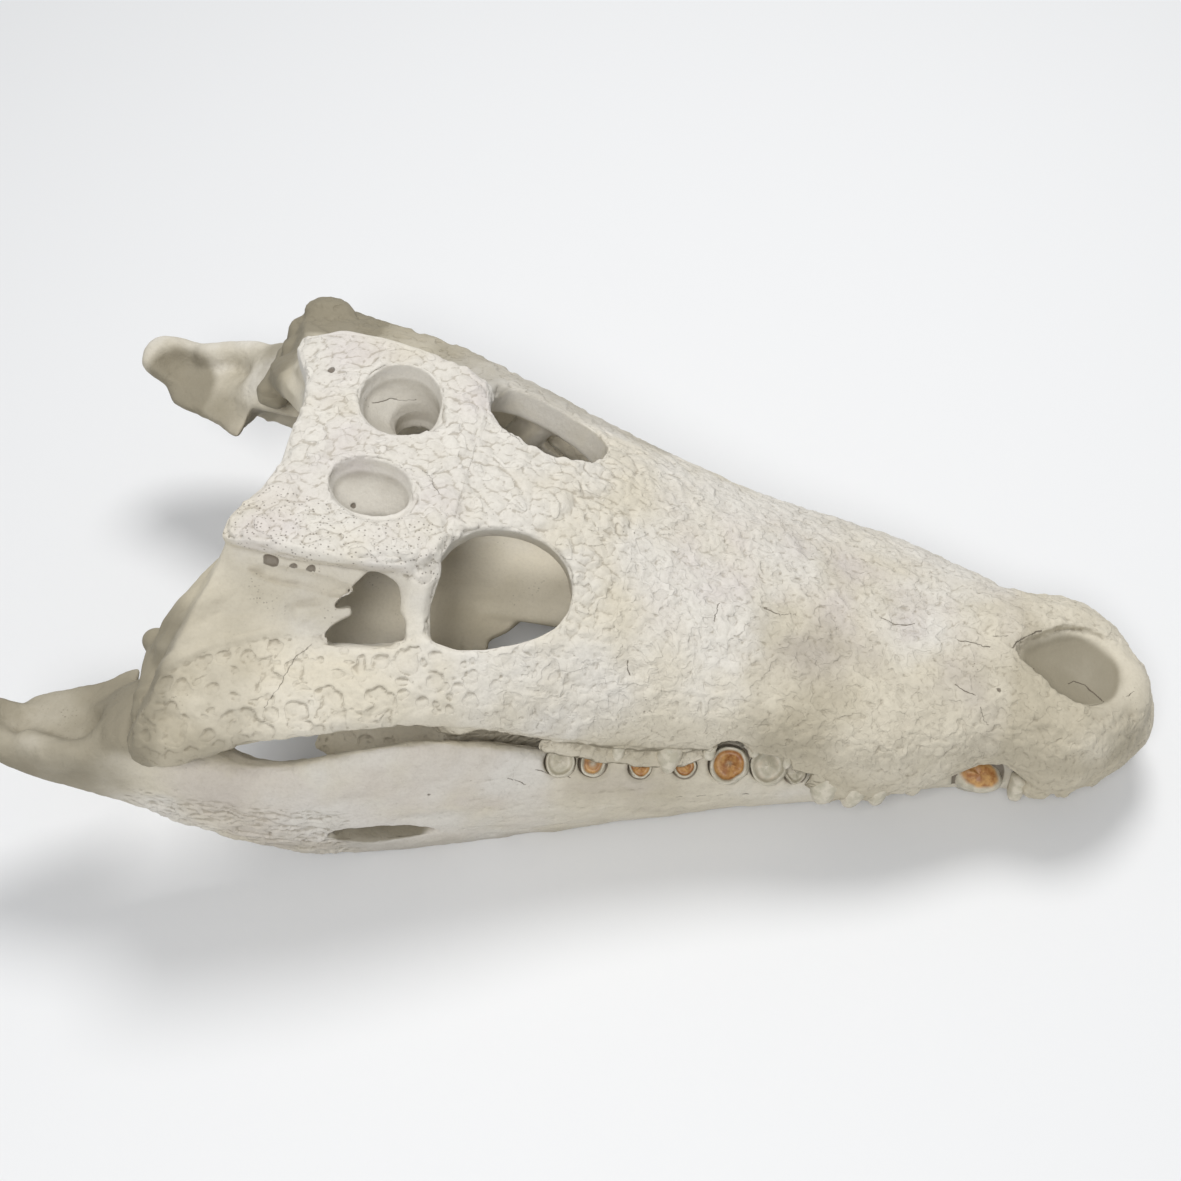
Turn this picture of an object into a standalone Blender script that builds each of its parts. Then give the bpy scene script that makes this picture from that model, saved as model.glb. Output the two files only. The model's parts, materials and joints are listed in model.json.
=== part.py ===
"""Crocodile skull with its lower jaw, dry bone, jaws closed, resting on the jaw's underside.

+X points to the snout, +Y to the animal's left and +Z up. The origin is on the floor, under
the middle of the skull. A place is given as (station, side, height) in hundredths of the
skull's length: stations run back from the snout's tip, sides are to the left, and heights
are above the upper tooth line. The bones are modelled whole, then parted at the sutures.
"""

import math

import bmesh
import bpy
import numpy as np
from mathutils import Matrix, Vector

SKULL_LENGTH = 0.560  # snout tip to the back edge of the skull table
U = SKULL_LENGTH / 100
HEEL, CHIN = (81, -19.4), (10, -6.7)  # (station, height) of the jaw's lowest points, back and front
REST_TILT = math.atan2(CHIN[1] - HEEL[1], HEEL[0] - CHIN[0])  # the snout's dip with both on the floor
FLAT_DEPTH = 0.0022  # how much of the jaw's underside is worn to the flats it rests on
FLOOR_SIZE = 2.0  # of the block that wears them
SUTURE = 0.0005  # width of the thin cuts between bones
JAW_GAP = 0.0008  # clearance between the upper and the lower jaw
VOXEL = 0.0022  # grid that the joined forms are skinned on
UPPER_FACES, LOWER_FACES = 3900, 2000  # triangles of each jaw before it is parted
WIDE, LOW, HIGH = 50, -40, 40  # sides and heights that reach past the skull

# Base colours of the dry bone, from its bleached roof to its stained back corners.
FINISHES = {
    "bleached_bone": (0.66, 0.63, 0.56, 1),
    "smooth_bone": (0.62, 0.57, 0.47, 1),
    "stained_bone": (0.46, 0.41, 0.32, 1),
}
BONE_ROUGHNESS = 0.75

# Profiles of the upper skull, as (station, value) pairs. Its half section runs from the roof's
# middle over the roof's edge and the shelf, which is the upper rim of the cheek bone, to the
# widest line of the side, and round the margin to the palate.
ROOF = ((-0.4, 5.2), (2, 8.2), (5, 10), (10, 10.8), (18, 11.3), (26, 10.9), (36, 11.2), (46, 12.4),
        (56, 14.6), (64, 17), (70, 19.1), (76, 19.8), (82, 19.9), (92, 19.6), (106, 19))
EDGE_SIDE = ((-0.4, 1.2), (5, 5.4), (10, 6.8), (18, 5), (26, 6.4), (40, 6.4), (56, 8), (64, 8),
             (68, 6.4), (72, 5.8), (76, 7), (80, 12), (90, 13), (106, 13))
EDGE_DROP = ((-0.4, 0.2), (18, 0.3), (40, 0.5), (64, 0.5), (78, 0.2), (86, 0.3), (106, 0.8))
SHELF_SIDE = ((-0.4, 2.2), (2, 4.8), (4.8, 7.4), (7.7, 9.5), (10.7, 10), (14, 9.4), (18, 8.8),
              (25, 11.8), (30, 13.4), (36, 14.2), (46, 13.8), (56, 15.2), (66, 15.2), (72, 16.9),
              (79, 18.6), (84, 18.9), (90, 19.8), (95, 21.4), (100, 24), (104, 27), (107, 28))
SHELF_HEIGHT = ((-0.4, 4.6), (2, 6.8), (5, 8.8), (10, 9.6), (18, 9.3), (26, 8.4), (36, 8.7), (46, 9.6),
                (56, 11.2), (64, 12.8), (70, 14), (79, 13.9), (84, 12.6), (90, 11.8), (95, 11.4),
                (100, 10.4), (104, 8.4), (107, 6.5))
WIDEST_SIDE = ((-0.4, 3), (1.2, 5), (2, 6.4), (4.8, 9.3), (7.7, 11.5), (10.7, 12.3), (14, 11.7),
               (16.5, 10.8), (19, 11.4), (21.5, 12.8), (25, 14.7), (30, 16.7), (35, 17.5), (40, 17),
               (45.5, 16.8), (49, 17.4), (56, 19), (61, 20), (68, 22), (73, 23.2), (79, 24.9),
               (85, 27.5), (91, 29), (96, 30.8), (101, 33), (104.4, 33), (107.4, 30))
WIDEST_HEIGHT = ((-0.4, 4), (5, 5), (10, 5.4), (16, 6), (25, 4.4), (34, 3.6), (45, 6), (56, 6), (64, 7),
                 (74, 8.8), (80, 9.3), (88, 9), (97, 7), (104, 3.8), (107, 3))
MARGIN = ((-0.4, 3), (1.4, 1.4), (5, 1.2), (8, 1), (11, 0), (13.5, 1.6), (17, 4.2), (20, 2.4),
          (23.5, 0.2), (28, -0.6), (31.5, -2.6), (36, -2), (39, 1.4), (43, 4), (47, 3.2), (51, 1.9),
          (60, 2), (66, 3.8), (74, 6.6), (80, 7.4), (86, 7.2), (92, 5.8), (98, 3.6), (104, 0.6),
          (107, 0))
MARGIN_INSET = ((-0.4, 0.2), (10, 0.8), (40, 0.5), (60, 0.9), (72, 1.6), (82, 1.8), (96, 1.6),
                (106, 1.2))
PALATE = ((-0.4, 3.4), (8, 2), (16, 5.2), (26, 1.6), (40, 4.6), (62, 4.6), (106, 5))

# Profiles of one side of the lower jaw.
JAW_SIDE = ((0.4, 1), (2, 3.2), (4.5, 5.2), (8, 7), (12, 8.2), (16, 8.8), (19, 9.4), (24, 11),
            (30, 12.8), (38, 14.8), (47, 17), (57, 20), (67, 22.8), (75, 25.6), (80, 27.2), (85, 28.6),
            (91, 29.8), (98, 30.5), (107, 30.6), (113, 31), (119, 31), (122, 30.4), (124.2, 29))
JAW_THICK = ((0.4, 1), (5, 7), (14, 8.2), (18, 7), (30, 6.2), (50, 5.6), (66, 5), (80, 4), (94, 4.4),
             (99, 7), (103, 13), (108, 13.6), (111.5, 9.6), (115, 7.4), (120, 7.8), (124.2, 5))
JAW_TOP = ((0.4, -1.6), (3, -0.8), (8, -0.8), (11, -0.9), (16, 1), (20, 0.2), (26, -2), (31, -3.8),
           (36, -3.2), (40, 0), (46, 1.2), (52, 0.6), (60, 0.4), (66, 1.4), (71, 4.6), (76, 6.6),
           (81, 6), (86, 3.2), (91, 0.6), (97, -0.8), (101, 0.4), (104, 1.8), (107.4, 2.6), (109.6, 0),
           (112, -3.4), (116, -5.2), (120, -2.8), (124.2, -2.6))
JAW_BOTTOM = ((0.4, -3.6), (4, -5.4), (9, -6.6), (14, -6.8), (23, -6.8), (31, -7.8), (38, -10),
              (47, -12.6), (57, -15.2), (67, -17.6), (75, -19), (81, -19.4), (87, -19.1), (95, -17.8),
              (102, -15.6), (107, -13.2), (113, -10), (119, -7.6), (124.2, -5.6))

SPREAD = np.linspace(-1.2, 1.2, 7)


def along(profile, station):
    """A profile's value at a station, its corners rounded by averaging over a short stretch."""
    stations, values = zip(*profile)
    return float(np.interp(station + SPREAD, stations, values).mean())


SKULL_FRAME = Matrix.Rotation(REST_TILT, 4, "Y") @ Matrix.Diagonal((-U, U, U, 1))


def place(station, side, height):
    return SKULL_FRAME @ Vector((station, side, height))


def clear_scene():
    for obj in list(bpy.data.objects):
        bpy.data.objects.remove(obj)


def collection(name):
    made = bpy.data.collections.new(name)
    bpy.context.scene.collection.children.link(made)
    return made


def new_object(name, mesh, group):
    obj = bpy.data.objects.new(name, mesh)
    group.objects.link(obj)
    return obj


def loft(name, rings, group, smooth_levels=2):
    """A closed skin over rings of places, each with the same number of points, rounded by subdivision."""
    count = len(rings[0])
    points = [place(*p) for ring in rings for p in ring]
    faces = [tuple(range(count))[::-1], tuple(range(len(points) - count, len(points)))]
    for row in range(len(rings) - 1):
        for i in range(count):
            a, b = row * count + i, row * count + (i + 1) % count
            faces.append((a, b, b + count, a + count))
    mesh = bpy.data.meshes.new(name)
    mesh.from_pydata(points, [], faces)
    obj = new_object(name, mesh, group)
    if smooth_levels:
        rounded = obj.modifiers.new("Rounded", "SUBSURF")
        rounded.levels = rounded.render_levels = smooth_levels
    face_outwards(obj)
    return obj


def face_outwards(obj):
    work = bmesh.new()
    work.from_mesh(obj.data)
    bmesh.ops.recalc_face_normals(work, faces=work.faces)
    work.to_mesh(obj.data)
    work.free()


def final_mesh(obj):
    """The object's mesh with its modifiers applied, in the scene's frame."""
    bpy.context.view_layer.update()
    graph = bpy.context.evaluated_depsgraph_get()
    mesh = bpy.data.meshes.new_from_object(obj.evaluated_get(graph))
    mesh.transform(obj.matrix_world)
    return mesh


def both_sides(points):
    """A half ring from the top of the midline to its bottom, continued up the other side."""
    return points + [(s, -y, h) for s, y, h in reversed(points[1:-1])]


def tube(name, route, radii, group, sides=12, squash=1.0):
    """A bar along a route of places, with a radius at each, flattened by squash along its second axis."""
    centres = [Vector(p) for p in route]
    rings = []
    for i, centre in enumerate(centres):
        ahead = centres[min(i + 1, len(centres) - 1)] - centres[max(i - 1, 0)]
        turn = ahead.to_track_quat("Z", "Y")
        ring = []
        for k in range(sides):
            angle = 2 * math.pi * k / sides
            reach = Vector((math.cos(angle), squash * math.sin(angle), 0)) * radii[i]
            ring.append(tuple(centre + turn @ reach))
        rings.append(ring)
    return loft(name, rings, group, smooth_levels=1)


def ball(name, centre, radii, group):
    """An ellipsoid with its half sizes along station, side and height."""
    work = bmesh.new()
    bmesh.ops.create_uvsphere(work, u_segments=24, v_segments=16, radius=1)
    work.transform(SKULL_FRAME @ Matrix.Translation(centre) @ Matrix.Diagonal((*radii, 1)))
    bmesh.ops.recalc_face_normals(work, faces=work.faces)
    mesh = bpy.data.meshes.new(name)
    work.to_mesh(mesh)
    work.free()
    return new_object(name, mesh, group)


def oval(centre, half_sizes, level, count=28, power=1.0):
    """An oval outline round (station, side); a power under 1 squares it."""
    points = []
    for k in range(count):
        angle = 2 * math.pi * k / count
        c, s = math.cos(angle), math.sin(angle)
        points.append((centre[0] + half_sizes[0] * math.copysign(abs(c) ** power, c),
                       centre[1] + half_sizes[1] * math.copysign(abs(s) ** power, s), level))
    return points


def rounded(corners, steps=3):
    """A closed outline with its corners cut round, by Chaikin's rule."""
    for _ in range(steps):
        cut = []
        for i, a in enumerate(corners):
            b = corners[(i + 1) % len(corners)]
            cut.append(tuple(0.75 * p + 0.25 * q for p, q in zip(a, b)))
            cut.append(tuple(0.25 * p + 0.75 * q for p, q in zip(a, b)))
        corners = cut
    return corners


def cut(obj, cutters, operation="DIFFERENCE", solver="EXACT"):
    for cutter in cutters:
        boolean = obj.modifiers.new(cutter.name, "BOOLEAN")
        boolean.operation = operation
        boolean.object = cutter
        boolean.solver = solver


def saw(obj, cutter, operation="DIFFERENCE"):
    """A cut through a finished skin, whose many small faces need the sturdier solver."""
    cut(obj, [cutter], operation, "MANIFOLD")


def mirrored(points):
    """The same outline or route on the right side."""
    return [(p[0], -p[1], *p[2:]) for p in points]


def for_both_sides(make):
    """make(side_name, flip) for the left and the right, where flip mirrors a route or an outline."""
    return [make("left", list), make("right", mirrored)]


# --- the upper skull ---------------------------------------------------------------------


def upper_section(station):
    """The places of the left half section at a station, from the roof's middle to the palate's."""
    roof, palate = along(ROOF, station), along(PALATE, station)
    edge, shelf, widest = along(EDGE_SIDE, station), along(SHELF_SIDE, station), along(WIDEST_SIDE, station)
    edge_height = roof - along(EDGE_DROP, station)
    shelf_height, widest_height = along(SHELF_HEIGHT, station), along(WIDEST_HEIGHT, station)
    margin, inset = along(MARGIN, station), along(MARGIN_INSET, station)
    palate = max(palate, margin + 0.5)
    hollow = float(np.interp(station, (80, 88, 102, 106), (0, 3.4, 3.4, 0)))
    return [(0, roof), (0.55 * edge, roof), (edge, edge_height),
            (0.5 * (edge + shelf) - 0.3 * hollow, 0.5 * (edge_height + shelf_height) + 0.4 - 0.8 * hollow),
            (shelf, shelf_height),
            (0.45 * shelf + 0.55 * widest, 0.5 * (shelf_height + widest_height) + 0.5),
            (widest, widest_height), (widest - 0.4 * inset, 0.4 * widest_height + 0.6 * margin),
            (widest - inset, margin), (widest - inset - 1.6, margin), (widest - inset - 3, palate),
            (0, palate)]


def dome(group):
    """Snout, forehead and cheeks as one vault, solid up to its palate."""
    rings = []
    for station in (-0.4, 0.6, 2, 4, 6, 8.5, 11, 13.5, 16, 18.5, 21, 24, 27.5, 31, 34.5, 38, 41.5, 45,
                    49, 54, 59, 64, 68, 72, 76, 80, 84, 88, 92, 96, 100, 104, 107.5):
        rings.append(both_sides([(station, side, height) for side, height in upper_section(station)]))
    return loft("vault", rings, group)


def temporal_chamber(group):
    """The open space behind and below the eyes, bounded by the roof and the cheeks."""
    rings = []
    for station in (62, 64, 67, 72, 78, 84, 90, 96, 102, 112):
        share = float(np.interp(station, (62, 64, 67), (0.5, 0.8, 1)))
        section = upper_section(min(station, 104))
        edge, shelf, widest = section[2], section[4], section[6]
        outline = [(0, edge[1] - 2.6), (0.6 * edge[0], edge[1] - 2.6), (edge[0] - 1, edge[1] - 3.6),
                   (shelf[0] - 1.8, shelf[1] - 3), (widest[0] - 3.4, widest[1] - 0.4), (widest[0] - 3.8, 2),
                   (widest[0] - 3.8, -8), (0, -8)]
        rings.append(both_sides([(station, side * share, 3 + (height - 3) * (share if height > 3 else 1))
                                 for side, height in outline]))
    return loft("chamber", rings, group)


def tunnel(name, rim, way, reach, group):
    """A cutter swept along a way from reach below a rim of places to reach above it."""
    way = Vector(way).normalized()
    rings = []
    for t in (-reach[0], reach[1]):
        rings.append([(s + way.x * t, y + way.y * t, h + way.z * t) for s, y, h in rim])
    return loft(name, rings, group, smooth_levels=0)


def sideways(way, side):
    return way if side == "left" else (way[0], -way[1], way[2])


def eye_opening(side, flip, group):
    rim = rounded([(65.6, 11.2, 16.2), (66.6, 7.8, 17.6), (69.4, 5.9, 18.6), (74, 5.6, 19),
                   (78.4, 7.8, 19.2), (80.4, 12.6, 18.2), (80, 17.8, 14.4), (75.6, 18.4, 13.8),
                   (70.4, 16, 13.8), (66.8, 13.8, 14.8)])
    return tunnel(f"eye_opening_{side}", flip(rim), sideways((0, 0.38, 0.92), side), (6.5, 6), group)


def cheek_opening(side, flip, group):
    rim = rounded([(82.6, 14, 17), (82, 15.8, 15.2), (81.4, 18.9, 12.8), (86, 19.4, 12.2),
                   (90.4, 19.6, 11.6), (88.4, 16.6, 13.4), (88, 13, 15.4), (85, 12.8, 17)], 2)
    return tunnel(f"cheek_opening_{side}", flip(rim), sideways((0, 0.7, 0.7), side), (6, 4), group)


def suborbital_opening(side, flip, group):
    rim = oval((63.5, 9.9), (10.5, 4.6), 0)
    return tunnel(f"palate_opening_{side}", flip(rim), (0, 0, 1), (5, 9), group)


def skull_table(group, cutters):
    """The flat roof over the braincase, with a round opening on each side of its middle."""
    half = [(78, 0), (78.4, 7), (79.4, 11.6), (82, 13.6), (87, 14.8), (92, 15.4), (97, 15), (100.6, 14.2),
            (100.6, 12), (98.4, 8), (97.6, 4), (97.8, 0)]
    rings = []
    for height, inset in ((17.2, 1.6), (17.6, 0.6), (18.4, 0.2), (19.2, 0), (19.9, 0.2), (20.3, 0.9)):
        ring = []
        for s, y in half:
            share = 1 - inset / 13
            droop = 0.0012 * max(0, s - 92) ** 2 * abs(y)
            ring.append((90.5 + (s - 90.5) * share, y * share, height - droop + 0.05 * abs(y) - 0.4))
        rings.append(both_sides(ring))
    table = loft("table", rings, group, smooth_levels=0)

    def opening(side, flip):
        rim = []
        for height, grow in ((13, 0.8), (18.6, 0.86), (19.8, 1), (21.5, 1.3)):
            rim.append(flip(oval((87.5, 5.9), (4.2 * grow, 3.4 * grow), height)))
        return loft(f"roof_opening_{side}", rim, cutters, smooth_levels=0)

    wells = for_both_sides(opening)
    cut(table, wells)
    return table, wells


def braincase(group, cutters):
    """The closed box under the table, its floor, and the plate round the spinal opening."""
    rings = []
    for station, half, low, high in ((83, 1.6, 10, 16.5), (85, 3.2, 7.5, 17.6), (88, 4.4, 5, 17.8),
                                     (91, 5.4, 4, 17.8), (94, 6, 4, 17.6), (96.4, 5.2, 5, 16.5)):
        mid = (low + high) / 2
        rings.append(both_sides([(station, 0, high), (station, 0.8 * half, high), (station, half, mid),
                                 (station, 0.8 * half, low), (station, 0, low)]))
    box = loft("braincase_box", rings, group)
    wings = []
    for side, half, low, high in ((-16, 1.2, 12.4, 15.6), (-12, 1.7, 11, 16.8), (-6, 2, 8.5, 17.4),
                                  (0, 2.2, 8, 17.4), (6, 2, 8.5, 17.4), (12, 1.7, 11, 16.8),
                                  (16, 1.2, 12.4, 15.6)):
        back = 95.6 + 0.22 * abs(side)
        wings.append([(back - half, side, low), (back + half, side, low + 0.4),
                      (back + half - 0.5, side, high), (back - half, side, high)])
    occiput = loft("occiput", wings, group)
    hole = ball("spinal_opening", (98, 0, 11.8), (4.6, 1.5, 1.4), cutters)
    cut(occiput, [hole])
    cut(box, [hole])
    floor = tube("braincase_floor", [(96.2, 0, 8), (95, 0, 4), (92.4, 0, 1.4)], (3.2, 3.8, 3), group,
                 squash=0.55)
    knob = ball("occipital_knob", (98, 0, 9), (2.1, 2, 1.9), group)
    return [box, occiput, floor, knob]


def quadrate(side, flip, group):
    """The bar from the braincase to the jaw joint, with its two-lobed roller."""
    route = flip([(92, 6, 14), (97, 11, 12.6), (100.4, 15.2, 10.4), (103, 19.2, 7), (104.4, 22, 3.8)])
    bar = tube(f"quadrate_bar_{side}", route, (3.2, 3.4, 3.4, 3.2, 2.8), group, squash=0.8)
    roller = tube(f"roller_{side}", flip([(105.6, 16.4, 3.4), (105.3, 18.8, 3), (105, 22, 3.2),
                                          (104.7, 25.4, 2.8), (104.2, 28.8, 2.8)]),
                  (1.5, 2.4, 1.9, 2.3, 1.7), group)
    return [bar, roller]


def pterygoid(side, flip, group):
    """A wing of the palate, from the midline out and down inside the lower jaw."""
    rings = []
    for out, front, back, height, thick in ((-1, 73, 95.5, 3.2, 1.5), (4, 73, 94, 2.6, 1.3),
                                            (8, 73.4, 92.6, 1.4, 1.1), (12, 75, 91.8, -0.8, 1),
                                            (15, 78.4, 91.4, -3.8, 1), (17, 81.4, 90.2, -6.4, 0.7)):
        mid, top, bottom = (front + back) / 2, height + thick, height - thick
        rings.append(flip([(front, out, height), (front + 2, out, top), (mid, out, top),
                           (back - 1.5, out, top), (back, out, height), (back - 1.5, out, bottom),
                           (mid, out, bottom), (front + 2, out, bottom)]))
    wing = loft(f"palate_wing_{side}", rings, group)
    route = flip([(73, 21.8, 8), (76.4, 19.6, 4.6), (79.6, 16.8, 0), (83.4, 15.6, -4)])
    strut = tube(f"palate_strut_{side}", route, (2.6, 2.2, 2, 2), group)
    return [wing, strut]


def palatine_bar(group):
    rings = []
    for station, half, low, high in ((52, 6.4, 3, 7.4), (60, 5.8, 2.2, 6.4), (68, 6.1, 1.8, 5.6),
                                     (75, 6.4, 1.6, 5), (82, 6.6, 1.8, 4.6)):
        rings.append(both_sides([(station, 0, high), (station, 0.7 * half, high - 0.3),
                                 (station, half, (low + high) / 2), (station, 0.7 * half, low + 0.2),
                                 (station, 0, low)]))
    return loft("palatine", rings, group)


def eye_bar(side, flip, group):
    """The pillar behind the eye, from the table's corner to the cheek bone."""
    route = flip([(81.4, 10.6, 18.4), (81, 13, 17.4), (80.8, 14.6, 15.8), (80.6, 16, 14), (80.4, 17.8, 12),
                  (80, 20, 10)])
    return tube(f"eye_bar_{side}", route, (2.8, 2, 1.4, 1.4, 1.9, 2.8), group, squash=0.8)


def cheek_spine(side, flip, group):
    """The thorn that points forward into the opening behind the eye."""
    route = flip([(93, 17.4, 12.6), (90.4, 16.4, 13.6), (87.6, 16, 14)])
    return tube(f"cheek_spine_{side}", route, (1.6, 0.9, 0.35), group)


def nostril(cutters):
    """The single opening on top of the snout: a deep bowl that narrows backwards."""
    rings = []
    for height, grow in ((6.4, 0.7), (7.8, 0.86), (9.8, 0.98), (14, 1.12)):
        rim = [(4.4, 0), (5, 3.8), (8, 5.4), (11.5, 5.2), (15, 3), (18.2, 0)]
        rim = rim + [(s, -y) for s, y in reversed(rim[1:-1])]
        ring = rounded([(9.6 + (s - 9.6) * grow, y * grow, height) for s, y in rim], 2)
        rings.append(ring)
    return loft("nostril_bowl", rings, cutters, smooth_levels=0)


# Teeth, as (station, inset from the jaw's side, length, radius).
UPPER_TEETH = ((2.6, 1.3, 1.2, 0.8), (5.4, 1.4, 1.6, 1), (8.6, 1.4, 2, 1.2), (12, 1.5, 1.2, 0.8),
               (19.6, 1.5, 1.3, 0.9), (22.4, 1.5, 1.6, 1.1), (25.6, 1.6, 1.6, 1.5),
               (29.4, 1.6, 1.2, 1.1), (34, 1.6, 1.2, 0.9), (38.6, 1.7, 1.6, 1), (43, 1.7, 1.6, 1),
               (47.2, 1.7, 1.5, 0.9), (51, 1.7, 1.2, 0.8))


def teeth(rows, jaw, line, taper, lean, group):
    """Short worn teeth on both sides; line gives a tooth's place out and its foot's height."""
    made = []
    for i, (station, inset, length, radius) in enumerate(rows):
        for side, flip in (("left", list), ("right", mirrored)):
            out, foot, up = line(station, inset)
            route = flip([(station, out, foot - 2 * up), (station, out, foot),
                          (station, out + lean, foot + length * up)])
            radii = (radius, radius, taper * radius)
            made.append(tube(f"{jaw}_tooth_{side}_{i}", route, radii, group, sides=10))
    return made


def upper_line(station, inset):
    out = along(WIDEST_SIDE, station) - along(MARGIN_INSET, station) - inset + 0.6
    return out, along(MARGIN, station), -1


def lower_line(station, inset):
    return along(JAW_SIDE, station) - inset, along(JAW_TOP, station), 1



def upper_skull(parts, cutters):
    vault = dome(parts)
    cut(vault, [temporal_chamber(cutters)])
    cut(vault, for_both_sides(lambda side, flip: eye_opening(side, flip, cutters)))
    cut(vault, for_both_sides(lambda side, flip: cheek_opening(side, flip, cutters)))
    cut(vault, for_both_sides(lambda side, flip: suborbital_opening(side, flip, cutters)))
    slope = [(99.4, 22), (100.2, 17), (101, 14.2), (103, 10.3), (105, 5.4), (106.4, 1), (106.4, -8),
             (116, -8), (116, 22)]
    slices = [[(s, y, h) for s, h in slope] for y in (-WIDE, WIDE)]
    behind = loft("behind_the_skull", slices, cutters, smooth_levels=0)
    table, wells = skull_table(parts, cutters)
    bay = [(97.6, 0), (97.4, 4), (98, 8), (99.4, 11), (101, 13), (112, 13)]
    bay = bay + [(s, -y) for s, y in reversed(bay[1:])]
    slices = [[(s, y, h) for s, y in bay] for h in (11, 24)]
    notch = loft("behind_the_roof", slices, cutters, smooth_levels=0)
    cut(vault, [behind, notch, nostril(cutters), *wells])
    pieces = [vault, table, palatine_bar(parts), *braincase(parts, cutters)]
    for side, flip in (("left", list), ("right", mirrored)):
        pieces += quadrate(side, flip, parts) + pterygoid(side, flip, parts)
        pieces += [eye_bar(side, flip, parts), cheek_spine(side, flip, parts)]
    return pieces + teeth(UPPER_TEETH, "upper", upper_line, 0.45, -0.1, parts)


# --- the lower jaw -----------------------------------------------------------------------


def jaw_side(side, flip, group, cutters):
    rings = []
    for station in (0.4, 2, 4, 7, 10.5, 14, 18, 23, 28, 33, 38, 43, 49, 55, 61, 67, 73, 79, 85, 91, 96,
                    100, 103.5, 107, 110.5, 114, 118, 121.5, 124.2):
        outer, top, bottom = (along(p, station) for p in (JAW_SIDE, JAW_TOP, JAW_BOTTOM))
        inner = max(outer - along(JAW_THICK, station), -0.4 if station < 15 else 0.6)
        mid, tall = (top + bottom) / 2, top - bottom
        rings.append(flip([
            (station, outer - 0.6, top),
            (station, outer + 0.1, mid + 0.22 * tall),
            (station, outer, mid - 0.18 * tall),
            (station, outer - 1.5, bottom + 0.1 * tall),
            (station, (outer + inner) / 2 - 0.4, bottom - 0.1),
            (station, inner + 0.3, bottom + 0.14 * tall),
            (station, inner, mid - 0.05 * tall),
            (station, inner + 0.1, top - 0.16 * tall),
            (station, (outer + inner) / 2 - 0.2, top + 0.1),
        ]))
    ramus = loft(f"jaw_{side}", rings, group)
    window = jaw_window(side, flip, cutters)
    hollow = ball(f"jaw_hollow_{side}", flip([(86, 24.4, -6)])[0], (9.5, 2.4, 5), cutters)
    across = flip([(106, 12, 3.1), (105.1, 21, 3.1), (103.8, 33, 2.8)])
    joint = tube(f"jaw_socket_{side}", across, (3, 2.8, 3), cutters)
    scoop = ball(f"jaw_scoop_{side}", flip([(116.5, 25.6, -1.4)])[0], (6.4, 3.6, 4.6), cutters)
    cut(ramus, [window, hollow, joint, scoop])
    return ramus


def jaw_window(side, flip, group):
    """The long oval hole through the back half of the jaw."""
    rings = []
    for out in (18, 36):
        rings.append(flip([(s, out, -10.6 + h) for s, h, _ in oval((80.4, 0), (5.6, 1.9), 0)]))
    return loft(f"jaw_window_{side}", rings, group, smooth_levels=0)


LOWER_TEETH = ((4, 1.6, 1.6, 0.8), (8.4, 1.5, 0.9, 0.7), (16, 1.3, 3.4, 1.7), (36.4, 1.7, 1, 1),
               (39.8, 1.7, 1.3, 1.5), (43.8, 1.7, 1.4, 1.9), (48.6, 1.8, 1.1, 1.2), (53, 1.8, 1, 1.1),
               (57.6, 1.9, 1, 1.2), (61.4, 1.9, 0.9, 1.2))


def chin(group):
    """The joined front ends of the two sides."""
    rings = []
    for station, narrowing in ((0.2, 0.4), (1.6, 0.8), (4, 1.2), (8, 1.6), (12, 3.4), (16, 6)):
        half = max(along(JAW_SIDE, station) - narrowing, 0.6)
        top, bottom = along(JAW_TOP, station) - 0.5, along(JAW_BOTTOM, station)
        rings.append(both_sides([(station, 0, top - 0.4), (station, 0.7 * half, top),
                                 (station, half, (top + bottom) / 2), (station, 0.6 * half, bottom),
                                 (station, 0, bottom + 0.1)]))
    return loft("chin", rings, group)


def lower_jaw(parts, cutters):
    sides = for_both_sides(lambda side, flip: jaw_side(side, flip, parts, cutters))
    return sides + [chin(parts)] + teeth(LOWER_TEETH, "lower", lower_line, 0.7, 0.2, parts)


# --- joining, parting and resting ----------------------------------------------------------


def joined(name, pieces, group, faces):
    """One skin round the pieces, with their joins blended, thinned to about a number of faces."""
    whole = bmesh.new()
    for piece in pieces:
        mesh = final_mesh(piece)
        whole.from_mesh(mesh)
        bpy.data.meshes.remove(mesh)
    mesh = bpy.data.meshes.new(name)
    whole.to_mesh(mesh)
    whole.free()
    obj = new_object(name, mesh, group)
    skin = obj.modifiers.new("One skin", "REMESH")
    skin.mode = "VOXEL"
    skin.voxel_size = VOXEL
    blend = obj.modifiers.new("Blended joins", "SMOOTH")
    blend.factor = 0.5
    blend.iterations = 4
    count = 2 * len(final_mesh(obj).polygons)
    thin = obj.modifiers.new("Fewer faces", "DECIMATE")
    thin.ratio = faces / count
    return obj


def clearance(obj, group):
    """The object's skin moved out by the gap that the jaws keep."""
    grown = new_object(f"{obj.name}_clearance", final_mesh(obj), group)
    swell = grown.modifiers.new("Gap", "DISPLACE")
    swell.mid_level = 0
    swell.strength = JAW_GAP
    return grown


def block(name, outline, low, high, group, grow=0):
    """A prism over a convex (station, side) outline between two heights, grown on every side."""
    middle = np.mean(outline, axis=0)
    rings = []
    for height in (low - grow, high + grow):
        ring = []
        for corner in outline:
            away = np.sign(np.array(corner) - middle)
            ring.append((*(np.array(corner) + grow * away), height))
        rings.append(ring)
    return loft(name, rings, group, smooth_levels=0)


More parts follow.
